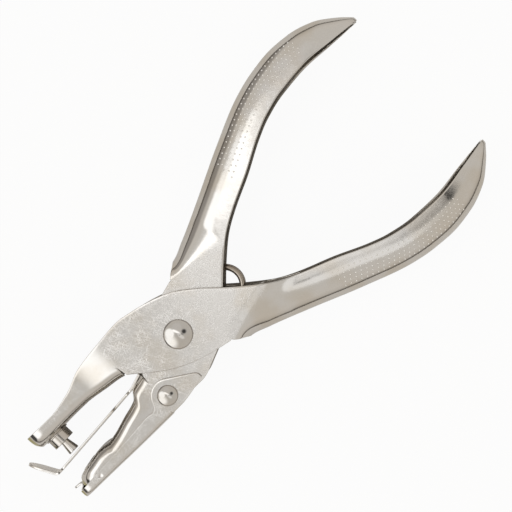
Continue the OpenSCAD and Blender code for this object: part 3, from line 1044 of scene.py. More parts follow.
def nose_half(front_x: float) -> tuple[Point, ...]:
    """Half width of a jaw along its rounded front end.

    Args:
        front_x: Front end of the jaw.

    Returns:
        Places along X with their half widths.
    """
    r = SIZES.nose_r
    return tuple((float(x), SIZES.inner_half - SIZES.nose_drop(x, front_x, r))
                 for x in SIZES.nose_xs(front_x, r, 12))


def punch_lever() -> Lever:
    """The lever that carries the punch, with the outer pivot cheeks.

    Returns:
        The lever, ready to be built.
    """
    s = SIZES
    seat, neck = s.seat_y, s.neck_x
    web = ((s.jaw_x, seat + 1.1), (s.jaw_x + 1.4, seat), (s.punch_x + s.collar_d / 2 + 1, seat),
           (-32.0, seat - 0.35), (-25.3, seat - 1.5), (neck - 0.02, seat - 3.1), (neck + 1.2, -20.0),
           (6.0, -20.0))
    rim = ((s.jaw_x, seat + 4.75), (-40.4, seat + 4.25), (-33.0, seat + 5.45), (-26.0, seat + 7.8),
           (-18.0, seat + 8.55), (-10.0, 14.5))
    step = s.lap_half - s.inner_half
    half = nose_half(s.jaw_x)
    half += ((neck - 10.5, s.inner_half), (neck + 1.8, s.lap_half), (0.0, s.lap_half), (20.0, s.lap_half))
    half += tuple((x, h + step) for x, h in HANDLE_HALF)
    return Lever("punch_lever", Body.PUNCH, Line(web + HANDLE_WEB), Line(rim + CHEEK_RIM + HANDLE_RIM),
                 Line(half), s.jaw_x, neck - 0.02, Line(((neck, 2.9), (-15.75, 0.8)) + OPEN_EDGE),
                 slot_half=s.strip_w / 2 + s.play, slot_end=-20.6, lap_step=step)


def die_lever() -> Lever:
    """The lever that carries the die, with the inner pivot cheeks; drawn upside down.

    Returns:
        The lever, ready to be built.
    """
    s = SIZES
    at, lean = s.die_at, math.tan(math.radians(s.squeeze_deg))

    def seat(x: float) -> float:
        """Height of the die's seat at x."""
        return -at[1] - (x - at[0]) * lean + 0.25

    a, b = at[0] - 0.47 * s.die_d, at[0] + 0.6 * s.die_d
    front = s.die_front_x
    web = ((front, 9.6), (front + 0.4, 8.6), (front + 0.9, 7.75), (a, seat(a)), (b, seat(b)),
           (-39.4, seat(-39.4) + 0.06), (-37.2, 6.3), (-35.7, 6.7), (-33.1, 6.4), (-27.9, 5.1), (-22.6, 3.75),
           (-21.6, 2.8), (-20.5, 1.47), (-15.6, 0.0), (-14.4, -20.0), (6.0, -20.0))
    rim = ((front, 11.3), (-39.3, 11.8), (-29.6, 12.3), (-20.0, 12.6), (-12.0, 13.5), (-8.0, 13.4))
    half = nose_half(front) + ((0.0, s.inner_half), (20.0, s.inner_half))
    return Lever("die_lever", Body.DIE, Line(web + HANDLE_WEB), Line(rim + CHEEK_RIM + HANDLE_RIM),
                 Line(half + HANDLE_HALF), front, -15.6, Line(((-15.75, 1.5), (-14.4, -0.4)) + OPEN_EDGE),
                 upside_down=True, web_end=-15.9, die_hole=True)


class GripDots:
    """Raised grip dots on the handles, set out by one geometry tree."""

    FIELD: Point = (41.0, 80.0)
    PITCH: float = 1.5
    ROWS_AT: tuple[float, ...] = (0.17, 0.27, 0.37, 0.47, 0.57)
    RADIUS: float = 0.26
    HEIGHT: float = 0.12

    def __init__(self, material: bpy.types.Material) -> None:
        """Builds the tree.

        Args:
            material: Finish of the dots, brighter than the plate as a painted highlight.
        """
        self.material = material
        self.tree = self._tree()

    @staticmethod
    def _tree() -> bpy.types.NodeTree:
        """Geometry tree that sets a low dome on each point of its input.

        Returns:
            A tree with the inputs Geometry, Dot Radius, Dot Height and Finish.
        """
        tree = bpy.data.node_groups.new("grip_dots", "GeometryNodeTree")
        for name, kind in (("Geometry", "NodeSocketGeometry"), ("Dot Radius", "NodeSocketFloat"),
                           ("Dot Height", "NodeSocketFloat"), ("Finish", "NodeSocketMaterial")):
            tree.interface.new_socket(name, in_out="INPUT", socket_type=kind)
        tree.interface.new_socket("Geometry", in_out="OUTPUT", socket_type="NodeSocketGeometry")
        n = Nodes(tree)
        source = n.add("NodeGroupInput")
        ball = n.add("GeometryNodeMeshUVSphere", {"Segments": 8, "Rings": 5, "Radius": 1.0})
        radius, height = source.outputs["Dot Radius"], source.outputs["Dot Height"]
        scale = n.add("ShaderNodeCombineXYZ", {"X": radius, "Y": radius, "Z": height})
        dome = n.add("GeometryNodeTransform", {"Geometry": ball.outputs["Mesh"],
                                               "Scale": scale.outputs["Vector"]})
        normal = n.add("GeometryNodeInputNormal")
        aim = n.add("FunctionNodeAlignRotationToVector", {"Vector": normal.outputs["Normal"]}, axis="Z")
        spread = n.add("GeometryNodeInstanceOnPoints", {"Points": source.outputs["Geometry"],
                                                        "Instance": dome.outputs["Geometry"],
                                                        "Rotation": aim.outputs["Rotation"]})
        real = n.add("GeometryNodeRealizeInstances", {"Geometry": spread.outputs["Instances"]})
        smooth = n.add("GeometryNodeSetShadeSmooth", {"Geometry": real.outputs["Geometry"]})
        finish = n.add("GeometryNodeSetMaterial", {"Geometry": smooth.outputs["Geometry"],
                                                   "Material": source.outputs["Finish"]})
        n.add("NodeGroupOutput", {"Geometry": finish.outputs["Geometry"]})
        return tree

    def build(self, lever: Lever) -> bpy.types.Object:
        """Sets the dots on one lever's handle.

        Args:
            lever: The lever that carries them.

        Returns:
            The dots as one plain mesh.
        """
        obj = lever.dot_carrier(lever.node + "_dots", *self.FIELD, self.PITCH, self.ROWS_AT)
        modifier = obj.modifiers.new("Dots", "NODES")
        modifier.node_group = self.tree
        values = {"Dot Radius": self.RADIUS * MM, "Dot Height": self.HEIGHT * MM, "Finish": self.material}
        for item in self.tree.interface.items_tree:
            if item.name in values and item.in_out == "INPUT":
                modifier[item.identifier] = values[item.name]
        settle(obj, 80.0)
        carry(obj, lever.body, Slot.PLATE, self.material)
        return obj


Place = Callable[[float, float, float], Spot]


def on_axis(x: float = 0.0, y: float = 0.0) -> Place:
    """Way to set a turned piece on an upright axis at a plan point."""
    return lambda r, a, h: (x + r * math.cos(a), y + r * math.sin(a), h)


@dataclass
class Turned:
    """A turned piece: a closed profile swept round an axis."""

    name: str
    profile: Sequence[Point]
    sides: int = 64

    def build(self, place: Place) -> bpy.types.Object:
        """Builds the piece.

        Args:
            place: Takes a radius, an angle and a height along the axis to a place about the middle plane.

        Returns:
            The piece with its faces outwards.
        """
        draft = Draft()
        turns = [2 * math.pi * k / self.sides for k in range(self.sides)]
        draft.grid(np.array([[place(r, a, h) for a in turns] for r, h in self.profile]), wrap=True)
        obj = draft.to_object(self.name)
        with edited(obj.data) as work:
            bmesh.ops.dissolve_degenerate(work, edges=work.edges, dist=NO_LENGTH)
            bmesh.ops.recalc_face_normals(work, faces=work.faces)
        settle(obj, 40.0)
        return obj


def rounded_profile(points: Sequence[Point], radius: float, steps: int = 3) -> list[Point]:
    """Rounds the corners of an open profile.

    Args:
        points: Corners of the profile.
        radius: Greatest corner radius.
        steps: Steps along each corner.

    Returns:
        The profile's points, its two ends kept.
    """
    out = [points[0]]
    for a, b, c in zip(points, points[1:], points[2:]):
        room = 0.45 * min(math.dist(a, b), math.dist(b, c))
        u, v = (np.subtract(a, b) / math.dist(a, b)), (np.subtract(c, b) / math.dist(b, c))
        half = math.acos(max(-1.0, min(1.0, float(u @ v)))) / 2
        if half > math.radians(80):
            out.append(b)
            continue
        out += [tuple(p) for p in round_corner(a, b, c, min(radius, room * math.tan(half)), steps)]
    return out + [points[-1]]


@dataclass
class Rivets:
    """The main rivet with its sleeve, and the small rivet of the chip cover."""

    dome_share: float = 0.105

    def _heads(self, shank_d: float, head_d: float, grip_half: float) -> list[Point]:
        """Profile of a rivet with two domed heads on upright edges, from the top down.

        Args:
            shank_d: Diameter of the shank.
            head_d: Diameter of the heads.
            grip_half: Half the distance between the heads.

        Returns:
            Radii with their heights.
        """
        top_h, cap_r = HEAD_SHARE * head_d, head_d / 2 - 0.3
        cap_h = self.dome_share * head_d
        edge_h = top_h - cap_h
        ball = (cap_r**2 + cap_h**2) / (2 * cap_h)
        top = [(ball * math.sin(a), grip_half + top_h - ball + ball * math.cos(a))
               for a in np.linspace(0.0, math.asin(cap_r / ball), 18)]
        top[0] = (1e-6, top[0][1])
        top += [(head_d / 2 - 0.04, grip_half + edge_h - 0.25), (head_d / 2, grip_half + edge_h - 0.32),
                (head_d / 2, grip_half + 0.06), (head_d / 2 - 0.06, grip_half), (shank_d / 2, grip_half),
                (shank_d / 2, 0.4 * grip_half)]
        return top + [(r, -h) for r, h in reversed(top)]

    def build(self, material: bpy.types.Material, dull: bpy.types.Material) -> None:
        """Builds and dresses the rivets and the sleeve.

        Args:
            material: Polished finish of the rivets.
            dull: Finish of the hidden sleeve.
        """
        s = SIZES
        heads = self._heads(s.pivot_d, s.pivot_head_d, s.lap_half + s.seat_gap)
        main = Turned("pivot_rivet_turned", heads, 80).build(on_axis())
        carry(main, Body.PUNCH, Slot.RIVET, material, "pivot_rivet")
        heads = self._heads(s.hinge_d, s.hinge_head_d, s.cover_half + s.seat_gap)
        small = Turned("cover_rivet_turned", heads, 64).build(on_axis(*s.hinge_at))
        carry(small, Body.DIE, Slot.RIVET, material, "cover_rivet")
        inside, outside = s.pivot_d / 2 + 0.05, s.pivot_d / 2 + 1.4
        long = s.inner_half - s.sheet_t - s.seat_gap
        ring = [(inside, -long), (outside - 0.2, -long), (outside, 0.2 - long), (outside, long - 0.2),
                (outside - 0.2, long), (inside, long), (inside, -long)]
        sleeve = Turned("pivot_sleeve_turned", ring, 48).build(on_axis())
        carry(sleeve, Body.DIE, Slot.TOOL, dull, "pivot_sleeve")


@dataclass
class CuttingSet:
    """The punch, riveted into the upper jaw, and the die in the lower jaw."""

    flange: float = 0.45

    def build(self, material: bpy.types.Material) -> None:
        """Builds and dresses the punch and the die.

        Args:
            material: Ground tool steel.
        """
        s = SIZES
        shank = 0.31 * s.collar_d
        root, head = s.sheet_t + 2 * s.seat_gap, shank + 0.8
        pin = [(1e-6, -root - 0.9), (head - 0.5, -root - 0.9), (head, -root - 0.35), (head, -root),
               (shank, -root), (shank, 0.0), (s.collar_d / 2 + self.flange, 0.0),
               (s.collar_d / 2 + self.flange, 0.35),
               (s.collar_d / 2, 0.35), (s.collar_d / 2, s.collar_h), (0.36 * s.punch_d, s.collar_h),
               (0.36 * s.punch_d, s.collar_h + 0.3), (s.punch_d / 2, s.collar_h + s.pin_len - 0.5),
               (s.punch_d / 2, s.collar_h + s.pin_len), (1e-6, s.collar_h + s.pin_len)]
        seat = s.seat_y - s.seat_gap
        punch = Turned("punch_pin_turned", rounded_profile(pin, 0.12), 64).build(
            lambda r, a, h: (s.punch_x + r * math.cos(a), seat - h, r * math.sin(a)))
        # Painted reflection: the collar's sides that face along X are darkened to look like dark reflections.
        paint(punch, Mask.INSIDE, lambda at, normal: 0.8 * smooth_step(0.72, 0.9, abs(normal[0])))
        carry(punch, Body.PUNCH, Slot.TOOL, material, "punch_pin")
        bore, rim, long = s.punch_d / 2 + s.play, s.die_d / 2, 2.4
        ring = [(bore, 0.05), (bore + 0.05, 0.0), (rim - 0.2, 0.0), (rim, 0.2), (rim, long),
                (bore + 0.5, long), (bore, long - 0.8), (bore, 0.05)]

        def in_jaw(r: float, a: float, h: float) -> Spot:
            """Place of the die's profile in the lower jaw."""
            x, y = s.die_at + turned((r * math.cos(a), -h), s.squeeze_deg)
            return x, y, r * math.sin(a)

        carry(Turned("die_bush_turned", ring, 64).build(in_jaw), Body.DIE, Slot.TOOL, material, "die_bush")


@dataclass
class Stripper:
    """Spring leaf with a hole for the punch, a waist and a round bent-up tab."""

    shelf_a: Point = (-20.5, -1.47)
    shelf_b: Point = (-15.6, 0.0)
    leaf_deg: float = 2.65
    tab_deg: float = 117.0
    waist: Point = (-28.2, -22.2)
    waist_soft: float = 0.7
    waist_share: float = 0.16
    edge: float = 0.14
    hole_d: float = 4.4
    tab_half: float = 2.3
    tab_round: float = 4.58

    def _path(self) -> np.ndarray:
        """Side line of the leaf from its root to the end of its tab.

        Returns:
            Plan points of the line.
        """
        s = SIZES
        a, b = np.array(self.shelf_a), np.array(self.shelf_b)
        shelf = math.degrees(math.atan2(b[1] - a[1], b[0] - a[0]))
        lift = s.seat_gap + s.strip_t / 2
        root_b, root_a = b + turned((-0.4, lift), shelf), a + turned((0.0, lift), shelf)
        front = s.jaw_x - 1.9
        leaf_b = np.array([front, root_a[1] + (front - root_a[0]) * math.tan(math.radians(self.leaf_deg))])
        tab = leaf_b + turned((s.tab_len, 0.0), self.tab_deg)
        first = round_corner(root_b, root_a, leaf_b, 3.0, 8)
        second = round_corner(root_a, leaf_b, tab, 1.4, 12)
        return np.array([root_b] + first + second + [tab])

    def build(self, material: bpy.types.Material) -> bpy.types.Object:
        """Builds and dresses the leaf.

        Args:
            material: Its spring steel finish.

        Returns:
            The finished piece.
        """
        s = SIZES
        path = self._path()
        run = run_length(path)
        full, total = s.strip_w / 2, run[-1]
        bend_at = total - s.tab_len

        def spot(d: float, w: float) -> Spot:
            """Place on the leaf, narrowed as its outline is there.

            Args:
                d: Distance along the leaf.
                w: Place across the leaf where it has its full width.

            Returns:
                The place about the middle plane.
            """
            x, y = float(np.interp(d, run, path[:, 0])), float(np.interp(d, run, path[:, 1]))
            rise, fall = (smooth_step(at - self.waist_soft, at + self.waist_soft, x) for at in self.waist)
            half = full - self.waist_share * s.strip_w * (rise * (1 - fall))
            half += (self.tab_half - half) * smooth_step(bend_at - 3.2, bend_at + 0.3, d)
            past = max(0.0, d - (total - self.tab_round))
            half *= math.sqrt(max(0.004, 1 - (past / self.tab_round)**2))
            return x, y, w / full * half

        leaf_end = int(np.argmin(np.abs(path[:, 0] - s.punch_x)))
        d_hole = float(np.interp(-s.punch_x, -path[:leaf_end + 12, 0], run[:leaf_end + 12]))
        patch, cells = 3.6, 16
        inner = np.linspace(-patch, patch, cells + 1)
        across = np.concatenate([[-full, -(full + patch) / 2], inner, [(full + patch) / 2, full]])
        before = np.linspace(0.0, d_hole - patch, 64)
        end = total - self.tab_round
        after = np.concatenate([np.linspace(d_hole + patch, end, 20)[:-1],
                                end + self.tab_round * np.sin(np.linspace(0.0, math.pi / 2, 18))])
        draft = Draft()
        for part in (before, after):
            draft.grid(np.array([[spot(d, w) for w in across] for d in part]))
        for side in (across[:3], across[-3:]):
            draft.grid(np.array([[spot(d, w) for w in side] for d in d_hole + inner]))
        edge = [(-patch, w) for w in inner[:-1]] + [(d, patch) for d in inner[:-1]] \
            + [(patch, -w) for w in inner[:-1]] + [(-d, -patch) for d in inner[:-1]]
        rings = []
        for u in np.linspace(0.0, 1.0, 7):
            ring = []
            for d, w in edge:
                far = math.hypot(d, w)
                k = (1 - u) + u * self.hole_d / 2 / far
                ring.append(spot(d_hole + d * k, w * k))
            rings.append(ring)
        draft.grid(np.array(rings), wrap=True, flip=True)
        obj = draft.to_object("stripper_leaf")
        face_outwards(obj)
        thicken(obj, s.strip_t, self.edge, 0.0)
        obj.data.materials.append(material)
        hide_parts("stripper")
        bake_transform(obj)
        LOG.info("%s: %d faces", obj.name, len(obj.data.polygons))
        return obj


@dataclass
class ChipCover:
    """Swinging sheet cover under the lower jaw, with ears round its rivet, a front wall and a thumb lip."""

    web: Line = Line(((SIZES.jaw_x + 0.4, -12.7), (-39.3, -13.15), (-29.6, -13.65), (-17.0, -14.1),
                      (-13.0, -14.2), (-7.2, -13.5), (-4.2, -12.9)))
    bend_r: float = 1.2
    web_end: float = -16.8
    back_x: float = -4.15
    ear_r: float = 4.6
    front_h: float = 3.1
    lip_reach: float = 2.6
    lip_half: float = 1.5
    lip_t: float = 0.5
    lip_soft: float = 0.4
    lip_round: float = 0.9
    edge: float = 0.09
    lip_edge: float = 0.12
    dimple_r: float = 0.7
    dimple_low: float = 0.45
    dimple_at: Point = (-42.85, -11.3)
    nose_r: float = 4.0
    arc_rows: int = 6

    def _top(self, x: float) -> float:
        """Upper edge of the cover's side at x.

        Args:
            x: Place along X in millimetres.

        Returns:
            Height of the edge.
        """
        hx, hy = SIZES.hinge_at
        corners = [(-51.0, -10.5), (-45.0, -10.15), (-30.0, -9.75), (-20.6, -9.35)]
        a = hx + self.ear_r * math.cos(math.radians(160))
        b = hx + self.ear_r * math.cos(math.radians(60))
        if a <= x <= b:
            return hy + math.sqrt(self.ear_r**2 - (x - hx)**2)
        if x > b:
            top = hy + self.ear_r * math.sin(math.radians(60))
            u = (x - b) / (-4.1 - b)
            drop = max(0.0, x + 4.9) ** 2 * 0.9
            return top + (-11.0 - top) * u - drop
        start, rise = (-22.4, -9.43), 0.035
        if x > start[0]:
            w = a - start[0]
            u = (x - start[0]) / w
            top = hy + self.ear_r * math.sin(math.radians(160))
            return (start[1] * (2 * u**3 - 3 * u**2 + 1) + rise * w * (u**3 - 2 * u**2 + u)
                    + top * (3 * u**2 - 2 * u**3) + 2.4 * w * (u**3 - u**2))
        return float(np.interp(x, [p[0] for p in corners], [p[1] for p in corners]))

    def _side_z(self, x: float, y: float) -> float:
        """Half width of the side at a place, with its round dimple.

        Args:
            x: Place along X in millimetres.
            y: Height of the place.

        Returns:
            The half width.
        """
        away = math.dist((x, y), self.dimple_at)
        dent = max(0.0, math.sqrt(max(0.0, self.dimple_r**2 - away**2)) - self.dimple_low)
        return SIZES.cover_half - dent - SIZES.nose_drop(x, self.web.points[0][0], self.nose_r)

    def _low(self, x: float) -> float:
        """Lower edge of the flat side at x."""
        return self.web.at(x) + (self.bend_r if x <= self.web_end + 1e-6 else 0.25)

    def _shell(self) -> bpy.types.Object:
        """Builds the skin of the sides and the floor.

        Returns:
            The cover's shell with its sheet thickness.
        """
        draft = Draft()
        nose = SIZES.nose_xs(self.web.points[0][0], self.nose_r, 12)
        front = np.concatenate([nose, np.linspace(nose[-1], self.web_end, 90)[1:]])
        back = np.concatenate([np.linspace(self.web_end, self.back_x - 1.2, 34)[1:],
                               np.linspace(self.back_x - 1.2, self.back_x, 9)[1:]])
        side = []
        for x in np.concatenate([front, back]):
            top, low = self._top(x), self._low(x)
            ys = [top + (low - top) * j / 12 for j in range(13)]
            side.append([(x, y, self._side_z(x, y)) for y in ys])
        draft.both_sides(np.array(side))
        r = self.bend_r
        floor = []
        for x in front:
            web, half = self.web.at(x), self._side_z(x, 0.0)
            arc = [(x, web + r - r * math.sin(a), half - r + r * math.cos(a))
                   for a in np.linspace(0.0, math.pi / 2, self.arc_rows + 1)]
            floor.append(arc + [(x, web, (half - r) * (1 - k / 8)) for k in range(1, 9)])
        draft.both_sides(np.array(floor))
        obj = draft.to_object("chip_cover_sheet")
        thicken(obj, SIZES.cover_t, self.edge)
        return obj

    def _lip(self) -> bpy.types.Object:
        """Builds the front wall with the thumb lip that is bent out of it.

        Returns:
            The wall and the lip with their sheet thickness.
        """
        s = SIZES
        x0, y0 = self.web.points[0]
        wall_x = x0 + s.cover_t / 2
        tip = (wall_x - self.lip_reach, y0 + self.front_h + 0.9)
        base = (wall_x, y0 + 0.15)
        path = np.array([base] + [(wall_x, y) for y in np.linspace(base[1], y0 + 2.2, 8)[1:]]
                        + round_corner(base, (wall_x, y0 + self.front_h + 0.6), tip, 1.0, 10)
                        + [np.array(tip)])
        run = run_length(path)
        wide = s.cover_half - s.nose_drop(x0, x0, self.nose_r) - s.cover_t / 2
        total = run[-1]
        shoulder = self.front_h - 0.5
        low, high, end = shoulder - self.lip_soft, shoulder + self.lip_soft, total - self.lip_round
        rows = []
        for d in np.concatenate([np.linspace(0.0, low, 8)[:-1], np.linspace(low, high, 12)[:-1],
                                 np.linspace(high, end, 10)[:-1],
                                 end + self.lip_round * np.sin(np.linspace(0, math.pi / 2, 8))]):
            lip = self.lip_half * (1 - 0.35 * smooth_step(shoulder, total, d))
            half = wide + (lip - wide) * smooth_step(low, high, d)
            past = max(0.0, d - end) / self.lip_round
            half *= math.sqrt(max(0.02, 1 - past**2))
            x, y = float(np.interp(d, run, path[:, 0])), float(np.interp(d, run, path[:, 1]))
            rows.append([(x, y, half * w) for w in np.linspace(-1.0, 1.0, 25)])
        draft = Draft()
        draft.grid(np.array(rows))
        obj = draft.to_object("chip_cover_lip")
        thicken(obj, self.lip_t, self.lip_edge, 0.0)
        return obj

    @staticmethod
    def _scuff(at: Spot, normal: Spot) -> float:
        """Share of handling marks: most by the lip, least on the bends."""
        flat = smooth_step(0.90, 0.99, abs(normal[2]))
        return flat * (0.45 + 0.35 * (1 - smooth_step(-47.0, -40.0, at[0])))

    @staticmethod
    def _painted_shade(at: Spot, normal: Spot) -> float:
        """Share of painted shade inside the cover at a place: the inward faces are darkened as if in shade.
        """
        inward = normal[2] * math.copysign(1.0, at[2]) < -0.25
        return 1.0 if inward or (normal[1] > 0.5 and abs(at[2]) < 6.5) else 0.0

    def _tarnish(self, at: Spot, normal: Spot) -> float:
        """Share of the yellowed plating at the cover's front end."""
        start = self.web.points[0][0]
        return (1 - smooth_step(start + 1.0, start + 1.8, at[0])) * smooth_step(0.62, 0.72, -normal[0])

    def build(self, material: bpy.types.Material) -> None:
        """Builds and dresses the cover.

        Args:
            material: Its plated finish.
        """
        shell, lip = self._shell(), self._lip()
        paint(lip, Mask.SCUFF, self._scuff)
        paint_all(shell, self._scuff, self._painted_shade, self._tarnish)
        carry(shell, Body.COVER, Slot.PLATE, material, "chip_cover")
        carry(lip, Body.COVER, Slot.PLATE, material)


@dataclass
class ReturnSpring:
    """Torsion spring: one wire from a foot in one handle, round the coil, to the other handle."""

    coil_x: float = 17.6
    leg_deg: float = 37.0
    turns: int = 3
    leg_pull: float = 14.0
    foot_at: Point = (0.42, 0.50)
    coil_gap: float = 0.5
    end_len: float = 0.2
    end_share: float = 0.7
    sides: int = 16

    def _leg(self, coil_r: float, coil_half: float) -> list[np.ndarray]:
        """Points of the leg in the upper handle, from its foot to the coil.

        Args:
            coil_r: Radius of the coil's middle line.
            coil_half: Half the height of the coil.

        Returns:
            The points in order.
        """
        s = SIZES
        web = Line(HANDLE_WEB)

        def foot(x: float) -> np.ndarray:
            """Point of the foot along the inside of the web."""
            k = math.sqrt(1 + web.slope(x)**2)
            return np.array([x, -web.at(x) - (s.sheet_t + s.wire_d / 2 + s.seat_gap) * k, 0.0])

        a, b = (share * s.handle_len for share in self.foot_at)
        along = (foot(b) - foot(a)) / np.linalg.norm(foot(b) - foot(a))
        lean = math.radians(self.leg_deg)
        root = np.array([self.coil_x - coil_r * math.sin(lean), coil_r * math.cos(lean), coil_half])
        pulls = (foot(a), foot(a) - along * self.leg_pull / 2,
                 root + np.array([math.cos(lean), math.sin(lean), 0.0]) * self.leg_pull, root)
        leg = [foot(x) for x in np.linspace(b, a, 8)]
        for u in np.linspace(0.03, 0.97, 34):
            leg.append(pulls[0] * (1 - u)**3 + 3 * pulls[1] * u * (1 - u)**2
                       + 3 * pulls[2] * u * u * (1 - u) + pulls[3] * u**3)
        return leg

    def _wire(self) -> np.ndarray:
        """Middle line of the whole wire.

        Returns:
            Points of the line from one foot to the other.
        """
        s = SIZES
        coil_r = s.coil_out_r - s.wire_d / 2
        sweep = 360 * self.turns + 360 - 2 * (90 + self.leg_deg)
        coil_half = (s.wire_d + self.coil_gap) * sweep / 720
        leg = self._leg(coil_r, coil_half)
        coil = []
        for u in np.linspace(0.0, 1.0, 198):
            a = math.radians(90 + self.leg_deg + sweep * u)
            coil.append(np.array([self.coil_x + coil_r * math.cos(a), coil_r * math.sin(a),
                                  coil_half * (1 - 2 * u)]))
        return np.array(leg + coil + [p * np.array([1.0, -1.0, -1.0]) for p in reversed(leg)])

    def build(self, material: bpy.types.Material) -> bpy.types.Object:
        """Builds and dresses the spring.

        Args:
            material: Its drawn wire finish.

        Returns:
            The finished piece.
        """
        wire = self._wire()
        r = SIZES.wire_d / 2
        path = np.gradient(wire, axis=0)
        path /= np.linalg.norm(path, axis=1)[:, None]
        sidewise = np.cross(np.array([0.0, 0.0, 1.0]), path)
        sidewise /= np.linalg.norm(sidewise, axis=1)[:, None]
        upright = np.cross(path, sidewise)
        angles = np.linspace(0.0, 2 * math.pi, self.sides, endpoint=False)
        circle = (np.cos(angles)[None, :, None] * sidewise[:, None, :]
                  + np.sin(angles)[None, :, None] * upright[:, None, :])
        rings = wire[:, None, :] + r * circle
        first = wire[0] - path[0] * self.end_len + self.end_share * r * circle[0]
        last = wire[-1] + path[-1] * self.end_len + self.end_share * r * circle[-1]
        draft = Draft()
        draft.grid(np.concatenate([first[None], rings, last[None]]), wrap=True)
        draft.cap(first, flip=True)
        draft.cap(last)
        obj = draft.to_object("return_spring_wire")
        face_outwards(obj)
        settle(obj, 40.0)
        obj.data.materials.append(material)
        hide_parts("return_spring")
        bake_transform(obj)
        LOG.info("%s: %d faces", obj.name, len(obj.data.polygons))
        return obj


@dataclass(frozen=True)
class Panel:
    """A soft-edged panel of the light tent.

    Its direction is given in degrees: round from the picture's right side, and down from straight above. A
    stretched panel is longer the way that along_deg points, by that factor.
    """

    round_deg: float
    down_deg: float
    reach: float
    soft: float
    level: float
    warmth: float = 0.03
    stretch: float = 1.0
    along_deg: float = 0.0

    @property
    def colour(self) -> Spot:
        """Colour of the panel; warmth takes from its green and its blue."""
        return self.level, self.level * (1 - self.warmth), self.level * (1 - 2 * self.warmth)

    def toward(self, roll_deg: float) -> Spot:
        """Direction of the panel in a scene whose picture is turned by an angle."""
        turn, down = math.radians(self.round_deg + roll_deg), math.radians(self.down_deg)
        return math.sin(down) * math.cos(turn), math.sin(down) * math.sin(turn), math.cos(down)

    def share(self, n: Nodes, way: bpy.types.NodeSocket, roll_deg: float) -> bpy.types.NodeSocket:
        """Share of the panel in a direction.

        Args:
            n: Node helper of the world.
            way: The direction.
            roll_deg: Angle by which the picture is turned.

        Returns:
            1 on the panel and 0 away from it.
        """
        aside = n.add("ShaderNodeVectorMath", {0: way, 1: self.toward(roll_deg)}, operation="SUBTRACT")
        off = aside.outputs["Vector"]
        far = n.add("ShaderNodeVectorMath", {0: off}, operation="LENGTH").outputs["Value"]
        if self.stretch != 1.0:
            turn = math.radians(self.along_deg + roll_deg)
            run = n.add("ShaderNodeVectorMath", {0: off, 1: (math.cos(turn), math.sin(turn), 0.0)},
                        operation="DOT_PRODUCT").outputs["Value"]
            spared = n.math("MULTIPLY", n.math("MULTIPLY", run, run), 1 - self.stretch**-2)
            far = n.math("SQRT", n.math("SUBTRACT", n.math("MULTIPLY", far, far), spared))
        return n.ramp(far, math.radians(self.reach + self.soft), math.radians(self.reach))


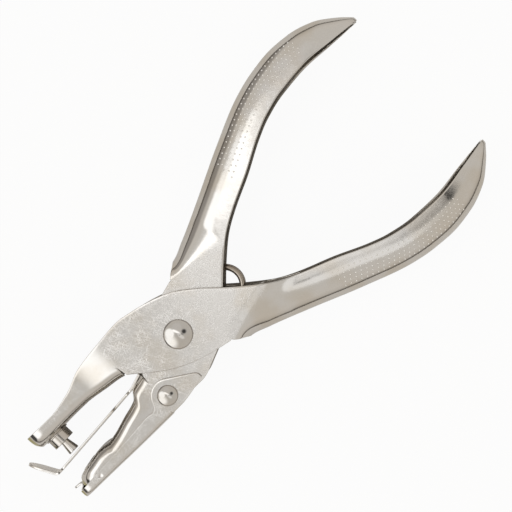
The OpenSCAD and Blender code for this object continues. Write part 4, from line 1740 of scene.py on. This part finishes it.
@dataclass
class Studio:
    """Pale floor, soft light tent and camera."""

    image_px: float = 512.0
    camera_at: Spot = (47.4, -1.0, 330.4)
    roll_deg: float = -46.5
    view_deg: float = 25.25
    shift_px: Point = (-44.6, -45.6)
    tent: tuple[tuple[float, Spot], ...] = (
        (0.00, (0.46, 0.42, 0.37)), (0.05, (0.48, 0.44, 0.39)), (0.14, (0.54, 0.50, 0.45)),
        (0.50, (0.66, 0.62, 0.57)), (0.85, (0.65, 0.62, 0.58)), (0.99, (0.64, 0.62, 0.59)),
        (1.0, (0.66, 0.64, 0.62)))
    panels: tuple[Panel, ...] = (
        Panel(225.0, 9.0, 3.0, 3.5, 0.66, 0.02), Panel(120.0, 20.0, 14.0, 8.0, 0.70, 0.04),
        Panel(157.3, 17.0, 3.1, 2.2, 1.7, 0.0, 6.0, 159.0), Panel(226.5, 5.9, 0.6, 1.2, 1.9, 0.0),
        Panel(300.9, 15.4, 5.0, 2.2, 0.98, 0.01, 2.4, 326.0),
        Panel(341.6, 11.1, 1.8, 2.2, 0.36, 0.03, 2.2, 326.0),
        Panel(279.0, 8.0, 1.0, 1.8, 0.30, 0.03), Panel(150.0, 82.0, 19.0, 10.0, 0.30, 0.08),
        Panel(226.0, 46.0, 10.0, 22.0, 1.5, 0.0), Panel(186.0, 36.0, 14.0, 6.0, 1.5, 0.0),
        Panel(20.0, 18.0, 6.5, 5.0, 0.35), Panel(20.0, 18.0, 6.0, 2.5, 0.02),
        Panel(224.0, 84.0, 15.0, 8.0, 0.02, 0.0))
    horizon: Point = (0.04, 0.23)
    dusk: Spot = (0.055, 0.042, 0.032)
    tent_glint: float = 0.05
    floor_reach: float = 4.0
    floor_z: float = -4e-5
    floor_glint: float = 0.08
    floor_white: float = 0.94
    paper: Spot = (0.80, 0.78, 0.75)

    def floor(self) -> bpy.types.Object:
        """Builds the pale floor that the tool lies on.

        Returns:
            The floor; the camera sees it nearly white, with a faint shadow, and the metal mirrors its paper.
        """
        mesh = bpy.data.meshes.new("floor")
        reach = self.floor_reach
        corners = ((-reach, -reach), (reach, -reach), (reach, reach), (-reach, reach))
        mesh.from_pydata([(x, y, self.floor_z) for x, y in corners], [], [(0, 1, 2, 3)])
        obj = bpy.data.objects.new("floor", mesh)
        bpy.context.scene.collection.objects.link(obj)
        mat = bpy.data.materials.new("pale_floor")
        mat.use_nodes = True
        n = Nodes(mat.node_tree)
        paper = n.add("ShaderNodeBsdfDiffuse", {"Color": (*self.paper, 1.0)})
        white = n.add("ShaderNodeEmission", {"Color": (1.0, 1.0, 1.0, 1.0), "Strength": 1.0})
        share = n.math("MULTIPLY", n.shown(self.floor_glint), self.floor_white)
        mix = n.add("ShaderNodeMixShader", {0: share, 1: paper.outputs[0], 2: white.outputs[0]})
        n.add("ShaderNodeOutputMaterial", {"Surface": mix.outputs[0]})
        mesh.materials.append(mat)
        return obj

    def light(self) -> None:
        """Sets the world: a pale tent with soft panels over a dark horizon, white to the camera."""
        world = bpy.data.worlds.new("light_tent")
        bpy.context.scene.world = world
        world.use_nodes = True
        n = Nodes(world.node_tree)
        way = n.add("ShaderNodeTexCoord").outputs["Generated"]
        up = n.add("ShaderNodeSeparateXYZ", {"Vector": way}).outputs["Z"]
        ramp = n.add("ShaderNodeValToRGB", {"Fac": up})
        stops = ramp.color_ramp.elements
        while len(stops) < len(self.tent):
            stops.new(0.5)
        for stop, (place, colour) in zip(stops, self.tent):
            stop.position = place
            stop.color = (*colour, 1.0)
        colour = ramp.outputs["Color"]
        for panel in self.panels:
            colour = n.mixed(panel.share(n, way, self.roll_deg), colour, panel.colour)
        colour = n.mixed(n.ramp(up, *self.horizon), self.dusk, colour)
        colour = n.mixed(n.shown(self.tent_glint), colour, (1.0, 1.0, 1.0))
        back = n.add("ShaderNodeBackground", {"Color": colour, "Strength": 1.0})
        n.add("ShaderNodeOutputWorld", {"Surface": back.outputs[0]})

    def camera(self) -> None:
        """Sets the camera above the tool at the photograph's angle."""
        data = bpy.data.cameras.new("camera")
        data.sensor_fit = "HORIZONTAL"
        data.angle = math.radians(self.view_deg)
        data.shift_x = self.shift_px[0] / self.image_px
        data.shift_y = self.shift_px[1] / self.image_px
        data.clip_start = 0.01
        obj = bpy.data.objects.new("camera", data)
        obj.location = [v * MM for v in self.camera_at]
        obj.rotation_euler = (0.0, 0.0, math.radians(self.roll_deg))
        bpy.context.scene.collection.objects.link(obj)
        bpy.context.scene.camera = obj

    def build(self) -> None:
        """Builds the whole studio."""
        bpy.context.scene.view_settings.view_transform = "Standard"
        self.floor()
        self.light()
        self.camera()


def main() -> None:
    """Builds the studio and the pieces in order."""
    logging.basicConfig(level=logging.INFO, format="%(message)s")
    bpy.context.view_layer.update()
    Studio().build()
    marks = wear_group()
    plate, rivet, tool = PLATE.material(marks), RIVET.material(marks), TOOL.material(marks)
    leaf, wire = LEAF.material(marks), WIRE.material(marks)
    dots = GripDots(DOT.material(marks))
    for lever in (punch_lever(), die_lever()):
        lever.build(plate)
        dots.build(lever)
    Rivets().build(rivet, tool)
    CuttingSet().build(tool)
    Stripper().build(leaf)
    ChipCover().build(plate)
    ReturnSpring().build(wire)
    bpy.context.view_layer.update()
    LOG.info("sizes written")


if __name__ == "__main__":
    main()
